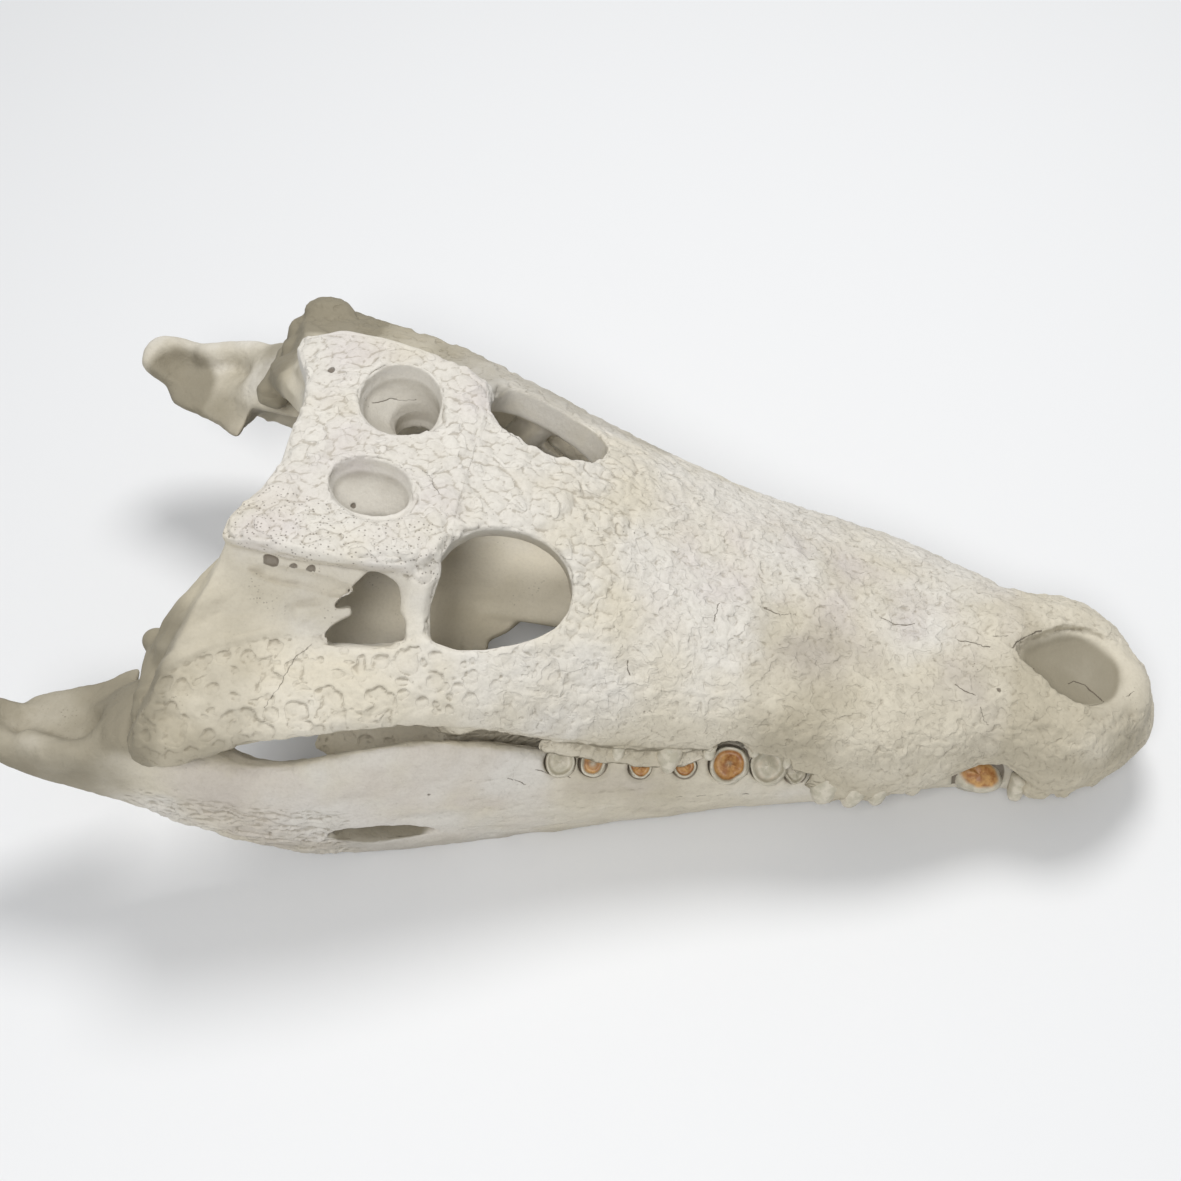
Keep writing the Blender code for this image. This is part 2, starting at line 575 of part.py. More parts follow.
def largest_body(mesh):
    """Leaves only the body with the most faces, without the crumbs of a cut."""
    work = bmesh.new()
    work.from_mesh(mesh)
    left, bodies = set(work.faces), []
    while left:
        body, edge = set(), [left.pop()]
        while edge:
            face = edge.pop()
            body.add(face)
            for line in face.edges:
                for other in line.link_faces:
                    if other in left:
                        left.remove(other)
                        edge.append(other)
        bodies.append(body)
    bodies.sort(key=len)
    for body in bodies[:-1]:
        bmesh.ops.delete(work, geom=list(body), context="FACES")
    bmesh.ops.delete(work, geom=[v for v in work.verts if not v.link_faces], context="VERTS")
    work.to_mesh(mesh)
    work.free()


def parted(whole, regions, group, cutters):
    """The whole cut into one named bone for each region, in order; the last bone is what is left."""
    bones = []
    rest = final_mesh(whole)
    for name, finish, outline, low, high in regions:
        bone = new_object(name, rest.copy(), group)
        bone["finish"] = finish
        if outline:
            saw(bone, block(f"{name}_region", outline, low, high, cutters), "INTERSECT")
            remainder = new_object("remainder", rest, group)
            saw(remainder, block(f"{name}_suture", outline, low, high, cutters, SUTURE / U))
            rest = final_mesh(remainder)
            bpy.data.objects.remove(remainder)
        bone.data = final_mesh(bone)
        bone.modifiers.clear()
        largest_body(bone.data)
        bones.append(bone)
    bpy.data.objects.remove(whole)
    return bones


def span(front, back, near, far):
    """A rectangle of (station, side) corners."""
    return [(front, near), (back, near), (back, far), (front, far)]


CHEEK = [(61, 17), (66, 13.4), (94, 13.4), (94, WIDE), (61, WIDE)]
UPPER_REGIONS = [
    ("premaxilla", "bleached_bone", span(-9, 17.2, -WIDE, WIDE), LOW, HIGH),
    ("palate", "smooth_bone", span(56, 97, -15.6, 15.6), LOW, 6.2),
    ("skull_table", "bleached_bone", span(79, 120, -WIDE, WIDE), 16, HIGH),
    ("braincase", "smooth_bone", span(79, 120, -8.8, 8.8), LOW, 16),
    ("nasals", "bleached_bone", span(17.2, 61, -3.4, 3.4), 6.4, HIGH),
    ("maxilla_left", "bleached_bone", span(17.2, 61, 0, WIDE), LOW, HIGH),
    ("maxilla_right", "bleached_bone", span(17.2, 61, -WIDE, 0), LOW, HIGH),
    ("jugal_left", "bleached_bone", CHEEK, LOW, 16),
    ("jugal_right", "bleached_bone", mirrored(CHEEK), LOW, 16),
    ("quadrate_left", "smooth_bone", span(80, 120, 0, WIDE), LOW, 16),
    ("quadrate_right", "smooth_bone", span(80, 120, -WIDE, 0), LOW, 16),
    ("forehead", "bleached_bone", None, 0, 0),
]
LOWER_REGIONS = [
    ("articular_left", "stained_bone", span(101.5, 130, 0, WIDE), LOW, HIGH),
    ("articular_right", "stained_bone", span(101.5, 130, -WIDE, 0), LOW, HIGH),
    ("surangular_left", "smooth_bone", span(68, 101.5, 0, WIDE), LOW, HIGH),
    ("surangular_right", "smooth_bone", span(68, 101.5, -WIDE, 0), LOW, HIGH),
    ("dentary_left", "smooth_bone", span(-9, 68, 0, WIDE), LOW, HIGH),
    ("dentary_right", "smooth_bone", None, 0, 0),
]


def settle(bones, cutters):
    """Stands the bones on the floor, centred over the origin, with the jaw's lowest places worn flat."""
    corners = np.array([v.co for bone in bones for v in bone.data.vertices])
    low, high = corners.min(axis=0), corners.max(axis=0)
    shift = Vector((-(low[0] + high[0]) / 2, -(low[1] + high[1]) / 2, -low[2] - FLAT_DEPTH))
    for bone in bones:
        bone.data.transform(Matrix.Translation(shift))
    floor = bpy.data.meshes.new("floor")
    work = bmesh.new()
    bmesh.ops.create_cube(work, size=FLOOR_SIZE, matrix=Matrix.Translation((0, 0, -FLOOR_SIZE / 2)))
    work.to_mesh(floor)
    work.free()
    worn = new_object("worn_below", floor, cutters)
    for bone in bones:
        if min(v.co.z for v in bone.data.vertices) < 0:
            saw(bone, worn)


def bone_material(finish):
    made = bpy.data.materials.get(finish) or bpy.data.materials.new(finish)
    made.use_nodes = True
    made.diffuse_color = FINISHES[finish]
    shader = made.node_tree.nodes["Principled BSDF"]
    shader.inputs["Base Color"].default_value = FINISHES[finish]
    shader.inputs["Roughness"].default_value = BONE_ROUGHNESS
    shader.inputs["Metallic"].default_value = 0
    return made


def main():
    clear_scene()
    forms, cutters, group = collection("Forms"), collection("Cutters"), collection("Crocodile skull")
    upper = joined("upper_skull", upper_skull(forms, cutters), group, UPPER_FACES)
    lower = joined("lower_jaw", lower_jaw(forms, cutters), group, LOWER_FACES)
    saw(lower, clearance(upper, cutters))
    bones = parted(upper, UPPER_REGIONS, group, cutters) + parted(lower, LOWER_REGIONS, group, cutters)
    settle(bones, cutters)
    for bone in bones:
        bone.data.materials.clear()
        bone.data.materials.append(bone_material(bone.pop("finish")))
        bone.data.shade_smooth()
    for form in list(forms.objects):
        bpy.data.objects.remove(form)
    for cutter in cutters.objects:
        cutter.hide_render = True
        cutter.display_type = "WIRE"


main()
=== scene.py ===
"""Fine dry bones for a crocodile skull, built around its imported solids.

Lengths are in metres, with +X to the snout, +Y to the animal's left and +Z up. A place on the
skull is (station, side, height) in hundredths of the skull's length: stations run back from the
snout's tip, sides to the left, and heights are above the upper tooth line. Each jaw is skinned
whole from its solids, sculptured, and then parted into its bones along wavy sutures.
"""

import itertools
import json
import math

import bmesh
import bpy
import numpy as np
from bpy.props import FloatProperty, FloatVectorProperty, PointerProperty
from bpy.types import Operator, Panel, PropertyGroup
from mathutils import Matrix, Vector


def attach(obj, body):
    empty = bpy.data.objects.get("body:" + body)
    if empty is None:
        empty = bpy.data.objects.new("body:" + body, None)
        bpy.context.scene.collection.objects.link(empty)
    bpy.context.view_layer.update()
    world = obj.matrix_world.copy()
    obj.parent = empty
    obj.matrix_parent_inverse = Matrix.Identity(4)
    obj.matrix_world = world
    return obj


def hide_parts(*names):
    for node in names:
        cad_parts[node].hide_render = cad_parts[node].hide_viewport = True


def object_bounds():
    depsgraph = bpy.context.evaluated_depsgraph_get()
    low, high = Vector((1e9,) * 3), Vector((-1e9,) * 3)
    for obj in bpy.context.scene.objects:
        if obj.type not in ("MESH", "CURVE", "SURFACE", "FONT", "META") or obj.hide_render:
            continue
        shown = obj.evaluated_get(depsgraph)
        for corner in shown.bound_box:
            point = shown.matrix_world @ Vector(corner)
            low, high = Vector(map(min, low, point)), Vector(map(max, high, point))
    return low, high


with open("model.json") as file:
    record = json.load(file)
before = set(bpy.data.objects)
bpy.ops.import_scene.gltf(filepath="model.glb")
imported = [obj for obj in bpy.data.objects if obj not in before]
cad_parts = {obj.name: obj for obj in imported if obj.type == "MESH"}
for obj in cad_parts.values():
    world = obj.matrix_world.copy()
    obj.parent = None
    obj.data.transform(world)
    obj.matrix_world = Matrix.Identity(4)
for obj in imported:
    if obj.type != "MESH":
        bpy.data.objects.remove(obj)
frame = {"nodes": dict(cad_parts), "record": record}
cad_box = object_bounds()

bl_info = {
    "name": "Crocodile skull",
    "version": (1, 0, 0),
    "blender": (4, 5, 0),
    "location": "3D View > Sidebar > Skull",
    "description": "Builds a dry crocodile skull with sculptured bones, worn teeth and a plain stage",
    "category": "Add Mesh",
}

# --- the skull's own frame ---

SKULL_LENGTH = 0.560  # snout tip to the back edge of the skull table
U = SKULL_LENGTH / 100
HEEL, CHIN = (81, -19.4), (10, -6.7)  # (station, height) of the jaw's lowest points
REST_TILT = math.atan2(CHIN[1] - HEEL[1], HEEL[0] - CHIN[0])
NOSE = Vector((0.34092, 0, 0.02431))  # front end of the upper tooth line, at place (0, 0, 0)
TILT = Matrix.Rotation(REST_TILT, 4, "Y")
SKULL_FRAME = Matrix.Translation(NOSE) @ TILT @ Matrix.Diagonal((-U, U, U, 1))
SLOTS = {row["node"]: row["material_slot"] for row in frame["record"]["subparts"]}


def place(station, side, height):
    return SKULL_FRAME @ Vector((station, side, height))


def skull_places(points):
    """World points as (station, side, height) rows."""
    inverse = np.array(SKULL_FRAME.inverted())
    return points @ inverse[:3, :3].T + inverse[:3, 3]


# --- fields over the surface ---


def ramp(values, low, high):
    """0 below low, 1 above high, and smooth between; low may be the larger one."""
    t = np.clip((values - low) / (high - low), 0, 1)
    return t * t * (3 - 2 * t)


def window(values, low, high, soft):
    """1 between low and high, fading to 0 over a soft margin outside."""
    return ramp(values, low - soft, low) * ramp(values, high + soft, high)


def distance_from(places, centre, scale=1):
    """How far each place is from a centre, along parts that are scaled."""
    return np.linalg.norm((places - centre) * scale, axis=1)


def dots(first, second):
    """The dot product of each row of the first with the same row of the second."""
    return np.einsum("ij,ij->i", first, second)


HASHES = 2 ** 32  # how many values a hash may have


def scatter(cells, seed):
    """A repeatable random number from 0 to 1 for each whole-number cell."""
    x, y, z = (cells[:, i].astype(np.uint32) for i in range(3))
    mixed = x * np.uint32(73856093) ^ y * np.uint32(19349663) ^ z * np.uint32(83492791)
    mixed = mixed ^ np.uint32(seed * 668265263 % HASHES)
    mixed = (mixed ^ (mixed >> np.uint32(15))) * np.uint32(2246822519)
    mixed = (mixed ^ (mixed >> np.uint32(13))) * np.uint32(3266489917)
    return (mixed ^ (mixed >> np.uint32(16))) / HASHES


def noise(points, size, seed):
    """Smooth noise from -1 to 1 whose bumps are about size apart."""
    turned = points @ np.array(Matrix.Rotation(0.7, 3, Vector((1, 2, 3)))).T / size
    base = np.floor(turned)
    part = turned - base
    part = part * part * (3 - 2 * part)
    cells = base.astype(np.int64)
    total = np.zeros(len(points))
    for corner in itertools.product((0, 1), repeat=3):
        weight = np.prod(np.where(np.array(corner) == 1, part, 1 - part), axis=1)
        total += weight * scatter(cells + corner, seed)
    return 2 * total - 1


def fractal(points, size, seed, octaves=3):
    """Noise with finer noise on it."""
    total = np.zeros(len(points))
    for level in range(octaves):
        total += 0.5 ** level * noise(points, size * 0.5 ** level, seed + level)
    return total


def drift(points, size, seed):
    """A wandering vector at each point, made of three noises."""
    return np.stack([noise(points, size, seed + axis) for axis in range(3)], axis=1)


def pits(points, spacing, seed, smallest, largest, share):
    """Distance to the rims of scattered round pits, below 0 inside them, in the unit of the points.

    Radii are shares of the spacing, and share, from 0 to 1 at each point, shrinks them further.
    """
    scaled = points / spacing
    base = np.floor(scaled).astype(np.int64)
    nearest = np.full(len(points), 1.0)
    for corner in itertools.product((-1, 0, 1), repeat=3):
        cells = base + corner
        jitter = np.stack([scatter(cells, seed + axis) for axis in range(3)], axis=1)
        radius = share * (smallest + (largest - smallest) * scatter(cells, seed + 3))
        nearest = np.minimum(nearest, distance_from(scaled - cells, jitter) - radius)
    return nearest * spacing


def mounds(points, spacing, seed, top):
    """Round mounds about spacing apart, falling from their top height with the distance."""
    return top - pits(points, spacing, seed, 0, 0, np.ones(len(points)))


def signed_seam(places, facing, route):
    """Distance to a route of places, below 0 on its left, and far where a place is past its ends."""
    nearest = np.full(len(places), np.inf)
    signed = np.full(len(places), np.inf)
    last = len(route) - 2
    for i, (start, end) in enumerate(zip(route, route[1:])):
        a, step = np.array(start, float), np.subtract(end, start)
        share = (places - a) @ step / (step @ step)
        away = places - a - np.clip(share, 0, 1)[:, None] * step
        distance = np.linalg.norm(away, axis=1)
        past = ((i == 0) & (share < 0)) | ((i == last) & (share > 1))
        turned = np.sign(dots(np.cross(facing, step), away))
        closer = (distance < nearest) & ~past
        nearest[closer] = distance[closer]
        signed[closer] = (turned * distance)[closer]
    return signed


MILLIMETRES = U * 1000  # in one hundredth of the skull's length
SEAM_REACH = 0.7  # how far from a crack its distance is kept
SEAM_SWAY = 0.13  # how far a crack wanders
CROWN_GAP = 0.12  # width of the gap round a crown that is painted dark as shade
CRACK_DEPTH, HOLE_DEPTH = 0.0003, 0.0008
# In millimetres: the distance kept where no crack or hole is near, how far off a crack has a
# width, and the half width kept further off.
FAR, SEAM_EDGE, NO_WIDTH = 3.0, 2, -2.0


def write_seams(skin, routes, holes, crowns):
    """Stores cracks as a signed distance and a half width, and the distance to the rims of holes.

    The sockets of the crowns count as holes, so that a gap round each is painted dark as shade.
    """
    signed = np.full(len(skin.points), FAR)
    width = np.full(len(skin.points), NO_WIDTH)
    swayed = skin.places + SEAM_SWAY * drift(skin.places, 0.6, 401)
    for half_width, route in routes:
        low, high = np.min(route, axis=0) - SEAM_REACH, np.max(route, axis=0) + SEAM_REACH
        close = np.flatnonzero(((swayed > low) & (swayed < high)).all(axis=1))
        found = signed_seam(swayed[close], skin.leaning[close], route) * MILLIMETRES
        off = np.abs(found)
        better = (off < np.abs(signed[close])) & (off < SEAM_REACH * MILLIMETRES)
        signed[close[better]] = found[better]
        width[close[better]] = np.where(off[better] < SEAM_EDGE, half_width, NO_WIDTH)
    rim = np.minimum(FAR, (crown_reach(skin.places, crowns) - CROWN_GAP) * MILLIMETRES)
    for centre, radius in holes:
        rim = np.minimum(rim, (distance_from(swayed, centre) - radius) * MILLIMETRES)
    groove = ramp(np.abs(signed), 1.2, 0) * (width > 0) * CRACK_DEPTH
    skin.swell(-groove - ramp(rim, 0.8, -1.2) * HOLE_DEPTH)
    skin.write("seam", signed)
    skin.write("seam_width", width)
    skin.write("hole", rim)


def read(layer, name, width=1, kind=np.float32):
    """The values of a mesh's layer, with a row for each element where they have several parts."""
    values = np.empty(len(layer) * width, kind)
    layer.foreach_get(name, values)
    return values.reshape(-1, width) if width > 1 else values


class Skin:
    """A fine mesh under work: its points, their places on the skull and the way they face."""

    def __init__(self, mesh):
        self.mesh = mesh
        self.points = read(mesh.vertices, "co", 3).astype(float)
        edges = read(mesh.edges, "vertices", 2, np.int32)
        self.starts, self.ends = edges.T
        self.neighbours = np.maximum(np.bincount(edges.ravel(), minlength=len(self.points)), 1)
        self.measure()

    def measure(self):
        """Writes the points back and reads the normals and places again."""
        self.mesh.vertices.foreach_set("co", self.points.astype(np.float32).ravel())
        self.mesh.update()
        self.facing = read(self.mesh.vertex_normals, "vector", 3).astype(float)
        self.places = skull_places(self.points)
        turn = np.array((SKULL_FRAME.to_3x3() * (1 / U)).inverted())
        self.leaning = self.facing @ turn.T

    def gathered(self, values):
        """The sum of the values of each point's neighbours."""
        count = len(self.points)
        total = np.bincount(self.starts, values[self.ends], count)
        return total + np.bincount(self.ends, values[self.starts], count)

    def spread(self, values, rounds=1):
        """Values averaged with those of their neighbours."""
        for _ in range(rounds):
            values = 0.5 * values + 0.5 * self.gathered(values) / self.neighbours
        return values

    def middles(self, rounds=1):
        """The points averaged with their neighbours."""
        return np.stack([self.spread(self.points[:, axis], rounds) for axis in range(3)], axis=1)

    def relax(self, rounds, share):
        """Moves each point towards the middle of its neighbours, by a share of 0 to 1."""
        for _ in range(rounds):
            self.points += share[:, None] * (self.middles() - self.points)
        self.measure()

    def swell(self, amount):
        self.points += self.facing * amount[:, None]
        self.measure()

    def write(self, name, values):
        layer = self.mesh.attributes.new(name, "FLOAT", "POINT")
        layer.data.foreach_set("value", values.astype(np.float32))


def write_hollows(skin):
    """Stores how hollow the surface is, close by and broadly, for painted shade in its creases and recesses,
    and marks its points as old.
    """
    for name, rounds, depth in (("hollow", 3, 0.00018), ("shelter", 30, 0.0012)):
        rise = dots(skin.middles(rounds) - skin.points, skin.facing)
        skin.write(name, np.clip(rise / depth, -1, 1))
    skin.write("old", np.ones(len(skin.points)))


# --- mesh helpers ---


def new_object(name, mesh):
    obj = bpy.data.objects.new(name, mesh)
    bpy.context.scene.collection.objects.link(obj)
    return obj


def final_mesh(obj):
    """The object's mesh with its modifiers applied."""
    bpy.context.view_layer.update()
    graph = bpy.context.evaluated_depsgraph_get()
    return bpy.data.meshes.new_from_object(obj.evaluated_get(graph))


def saved(name, work):
    """A new mesh with the faces of a bmesh, which is freed."""
    mesh = bpy.data.meshes.new(name)
    work.to_mesh(mesh)
    work.free()
    return mesh


def blob(work, centre, radii):
    """Adds an ellipsoid to a bmesh, with half sizes along station, side and height."""
    shape = SKULL_FRAME @ Matrix.Translation(centre) @ Matrix.Diagonal((*radii, 1))
    made = bmesh.ops.create_uvsphere(work, u_segments=32, v_segments=20, radius=1)
    bmesh.ops.transform(work, matrix=shape, verts=made["verts"])


def circle(count):
    """Even steps round a circle, as (cosine, sine)."""
    turns = [2 * math.pi * k / count for k in range(count)]
    return [(math.cos(turn), math.sin(turn)) for turn in turns]


def join_rings(work, rings):
    """Adds the faces between rings of points, each with the same number of corners."""
    for near, far in zip(rings, rings[1:]):
        for corners in zip(near, near[1:] + near[:1], far[1:] + far[:1], far):
            work.faces.new(corners)


def loft(work, rings):
    """Adds a closed skin over rings of places."""
    rows = [[work.verts.new(place(*p)) for p in ring] for ring in rings]
    join_rings(work, rows)
    work.faces.new(rows[0][::-1])
    work.faces.new(rows[-1])


def rod(work, route, radii, sides=16):
    """Adds a closed round bar along a route of places."""
    centres = [Vector(p) for p in route]
    rings = []
    for i, (centre, radius) in enumerate(zip(centres, radii)):
        ahead = centres[min(i + 1, len(centres) - 1)] - centres[max(i - 1, 0)]
        turn = ahead.to_track_quat("Z", "Y")
        rings.append([centre + turn @ Vector((x, y, 0)) * radius for x, y in circle(sides)])
    loft(work, rings)


def post(work, foot, way, low, high, radius, sides=28):
    """Adds a round post along a way, from low to high above a foot."""
    turn = way.to_track_quat("Z", "Y")
    loft(work, [[foot + turn @ Vector((radius * x, radius * y, level)) for x, y in circle(sides)]
                for level in (low, high)])


def both(points):
    """A list of places or offsets for the left, and the same mirrored for the right."""
    return [points, [(s, -y, h) for s, y, h in points]]


def plates(work, outline, ahead, back=(0, 0, 0)):
    """Adds an outline of the left carried from one offset to another, and its twin on the right."""
    for side, offsets in zip(both(outline), both([back, ahead])):
        loft(work, [[tuple(np.add(p, offset)) for p in side] for offset in offsets])


def bowl(work, levels, sides=40):
    """Adds ovals joined into a bowl; a level is (height, station, side, half length, half width)."""
    loft(work, [[(s + a * x, side + b * y, h) for x, y in circle(sides)] for h, s, side, a, b in levels])


def rounded(corners, steps=2):
    """A closed outline with its corners cut round, by Chaikin's rule."""
    for _ in range(steps):
        ahead = corners[1:] + corners[:1]
        corners = [tuple(np.multiply(a, share) + np.multiply(b, 1 - share))
                   for a, b in zip(corners, ahead) for share in (0.75, 0.25)]
    return corners


def face_outwards(work):
    bmesh.ops.recalc_face_normals(work, faces=work.faces)


def main_body(mesh):
    """Drops all but the largest connected part, such as sealed gaps left inside a skin."""
    starts, ends = read(mesh.edges, "vertices", 2, np.int32).T
    label = np.arange(len(mesh.vertices))
    while True:
        low = np.minimum(label[starts], label[ends])
        new = label.copy()
        np.minimum.at(new, label[starts], low)
        np.minimum.at(new, label[ends], low)
        new = new[new]
        if np.array_equal(new, label):
            break
        label = new
    names, counts = np.unique(label, return_counts=True)
    drop = label != names[counts.argmax()]
    if drop.any():
        work = bmesh.new()
        work.from_mesh(mesh)
        work.verts.ensure_lookup_table()
        bmesh.ops.delete(work, geom=[work.verts[i] for i in np.flatnonzero(drop)], context="VERTS")
        work.to_mesh(mesh)
        work.free()


def carved(mesh, *cuts):
    """The mesh with shapes cut from it; each cut is a function that adds shapes that stay apart."""
    for cut in cuts:
        work = bmesh.new()
        cut(work)
        face_outwards(work)
        mesh = sawn(mesh, saved("cutter", work), "DIFFERENCE")
    return mesh


def sawn(mesh, cutter, operation):
    """The mesh cut by, or kept inside, the mesh of a cutter."""
    obj, tool = new_object("sawn", mesh), new_object("cutter", cutter)
    saw = obj.modifiers.new("Saw", "BOOLEAN")
    saw.operation = operation
    saw.solver = "MANIFOLD"
    saw.object = tool
    made = final_mesh(obj)
    for used in (obj, tool):
        bpy.data.objects.remove(used)
    return made


def skinned(mesh, grid):
    """The mesh with one closed skin round all its parts, whose facets have the size of the grid."""
    obj = new_object("skinned", mesh)
    skin = obj.modifiers.new("One skin", "REMESH")
    skin.mode = "VOXEL"
    skin.voxel_size = grid
    fine = final_mesh(obj)
    bpy.data.objects.remove(obj)
    return fine


ROUGH_GRID, SWELL = 0.0014, 0.0004


def fine_skin(regions, forms, cuts, grid):
    """One fine closed skin round copies of the solids and the added forms, with shapes cut from it.

    The openings are cut from a rougher skin, and the solids are swollen to close the thin cuts
    between them.
    """
    work = bmesh.new()
    for node, *_ in regions:
        work.from_mesh(frame["nodes"][node].data)
    for vert in work.verts:
        vert.co += vert.normal * SWELL
    forms(work)
    face_outwards(work)
    rough = skinned(saved("forms", work), ROUGH_GRID)
    main_body(rough)
    fine = skinned(carved(rough, *cuts), grid)
    main_body(fine)
    return Skin(fine)


# --- teeth ---

# Teeth of the left side, as (station, out, height, radius, how brown the core is). The first are
# the broken crowns along the lower jaw, then the whole ones in the notch of the snout, and then
# the upper ones that hang over the lower row.
CROWNS = (
    (63.5, 20.3, 0.6, 1.55, 0.1), (60.1, 19.3, 0.2, 1.45, 0.55), (55.1, 18.3, -0.4, 1.15, 0.95),
    (50.4, 17, -0.4, 1.25, 1), (45.7, 15.5, -0.2, 2.2, 0.8), (41.4, 14.4, -0.7, 1.95, 0.15),
    (38.2, 13.8, -1.8, 1.25, 0.05),
)
NOTCH_TEETH = ((17.7, 8.9, -1.9, 2.9, 0.8), (23.4, 10.6, -1.7, 1.1, 0.3))
TONGUES = (
    (57.8, 18.4, 2.4, 0.7, 0), (52.4, 17.1, 2.3, 1.3, 0), (48.3, 16.2, 3, 0.7, 0),
    (43.7, 15.3, 4, 0.7, 0), (39.9, 15.4, 3.1, 0.6, 0), (35.2, 15.6, 1.4, 1.6, 0),
    (32, 15.4, 0.8, 1.4, 0), (29.3, 14.8, 0.8, 1.2, 0), (26.8, 13.6, 1.2, 0.9, 0),
    (13.4, 10, -0.2, 1.1, 0),
)
CROWN_LEAN, TONGUE_LEAN = Vector((0.06, 0.5, 0.86)), (0, 0.3, -1)  # the ways they grow, on the left
ARCHED = 4  # the first crown that the upper margin arches over
# From where to where a post stands over a crown's foot, and its room: the arches and the sockets.
ARCH, SOCKET = (-1.2, 6, 0.22), (-0.3, 4, 0.14)
CROWN_SPAN, AWAY = (-0.9, 2.4), 9.0  # levels at a crown's side, and what counts as far from it


def sideways(vector, sign):
    return Vector((vector[0], vector[1] * sign, vector[2]))


def crown_reach(places, crowns):
    """How far each place is outside the nearest crown's side, and AWAY above or below all crowns."""
    reach = np.full(len(places), AWAY)
    for station, out, height, radius, _ in crowns:
        for sign in (1, -1):
            foot, way = (np.array(sideways(v, sign)) for v in ((station, out, height), CROWN_LEAN))
            level = (places - foot) @ way
            away = distance_from(places - foot, level[:, None] * way) - radius
            beside = (level > CROWN_SPAN[0]) & (level < CROWN_SPAN[1])
            reach = np.where(beside, np.minimum(reach, away), reach)
    return reach


def crown_posts(crowns, low, high, room):
    """Two functions that add a post with room round every second crown, so that none overlap."""

    def cut_for(some):
        def cut(work):
            for station, out, height, radius, _ in some:
                for sign in (1, -1):
                    foot = sideways((station, out, height), sign)
                    post(work, foot, sideways(CROWN_LEAN, sign), low, high, radius + room)

        return cut

    return cut_for(crowns[::2]), cut_for(crowns[1::2])


# A tooth's outline, from its foot to its tip or the middle of its core: shares of its radius
# outwards and up, and how far each point belongs to the core.
CROWN_PROFILE = (
    (0.98, -0.8, 0), (1, -0.1, 0), (1, 0.15, 0), (0.96, 0.28, 0), (0.9, 0.33, 0), (0.82, 0.26, 0.2),
    (0.75, 0.12, 0.7), (0.66, 0.04, 1), (0.48, 0.08, 1), (0.28, 0.18, 0.8), (0.12, 0.22, 0.6),
    (0, 0.23, 0.5),
)
SHIELD_PROFILE = (
    (1, -0.8, 0), (1, -0.1, 0), (0.95, 0.12, 0), (0.85, 0.26, 0.1), (0.7, 0.38, 0.5), (0.5, 0.47, 1),
    (0.25, 0.5, 1), (0, 0.5, 1),
)
TONGUE_PROFILE = (
    (1, -1, 0), (1, 0, 0), (0.97, 0.5, 0), (0.88, 1.1, 0), (0.72, 1.6, 0), (0.5, 1.95, 0),
    (0.25, 2.1, 0), (0, 2.15, 0),
)
# Rows of teeth for each jaw, as (teeth, way, profile, first seed, height as a share of length).
ROWS = {
    "lower": ((CROWNS, CROWN_LEAN, CROWN_PROFILE, 0, 1),
              (NOTCH_TEETH, CROWN_LEAN, SHIELD_PROFILE, 20, 0.74)),
    "upper": ((TONGUES, TONGUE_LEAN, TONGUE_PROFILE, 30, 1),),
}
CROWN_SIDES = 40
WELD = 1e-7  # joins the points at the middle of a core


def tooth(work, foot, way, radius, profile, heat, seed, flatness):
    """Adds one lathed tooth with an uneven outline; its points carry how brown they are."""
    core = work.verts.layers.float["core"]
    turn = way.to_track_quat("Z", "Y")
    rings = []
    for share, level, brown in profile:
        spots = np.array([(x, y, level) for x, y in circle(CROWN_SIDES)])
        uneven = 1 + 0.2 * noise(spots + seed * 7.3, 1, 301) + 0.03 * noise(spots + seed, 0.3, 302)
        lift = 0.07 * noise(spots * (1, 1, 0) + seed * 3.1, 0.7, 303)
        ring = []
        for (x, y, _), grow, rise in zip(spots, uneven, lift):
            reach = share * grow
            local = Vector((x * reach, y * reach * flatness, level + rise * (share < 0.99)))
            vert = work.verts.new(place(*(foot + turn @ (local * radius))))
            vert[core] = heat * brown
            ring.append(vert)
        rings.append(ring)
    join_rings(work, rings)
    work.faces.new(rings[0][::-1])


def teeth_piece(name, sign, rows):
    """The detailed teeth of one side of one jaw, as a single piece."""
    work = bmesh.new()
    work.verts.layers.float.new("core")
    for teeth, lean, profile, first, flatness in rows:
        for i, (station, out, height, radius, heat) in enumerate(teeth):
            foot, way = sideways((station, out, height), sign), sideways(lean, sign)
            tooth(work, foot, way, radius, profile, heat, first + i, flatness)
    bmesh.ops.remove_doubles(work, verts=work.verts, dist=WELD)
    face_outwards(work)
    mesh = saved(name, work)
    mesh.shade_smooth()
    mesh.materials.append(bpy.data.materials["tooth"])
    piece = new_object(name, mesh)
    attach(piece, "root")


# --- the upper skull ---

NOSTRIL = [(4.8, 0), (5.4, 3.6), (8, 5.3), (11.5, 5.2), (15, 3), (18.4, 0), (15, -3), (11.5, -5.2),
           (8, -5.3), (5.4, -3.6)]
NOSTRIL_MIDDLE = 9.6
CHEEK_HOLE = [(86, 13.5, 17.4), (87.3, 14.7, 15.9), (88.9, 16.4, 13.9), (87, 16.2, 14.5), (86.8, 16.8, 14),
              (88.3, 17.6, 12.8), (89.1, 18.4, 11.8), (88.3, 19, 11.4), (85.4, 19, 12.2), (81, 18.4, 13.8),
              (81.3, 17, 15.1), (82.3, 15.8, 16), (83.3, 14.4, 17.2), (85, 13.5, 17.6)]
WAY_IN = (0.9, -4.2, -5.4)  # the way into the left cheek's hole, from above its rim
LIP = [(66, 20, 2.7), (63.5, 19.5, 2.2), (60, 18.7, 1.6), (55.1, 17.6, 0.8), (51, 16.6, 0.7),
       (48.6, 15.7, 1.5)]
LIP_RADII = (0.7, 1, 1.1, 1.1, 1.1, 0.8)


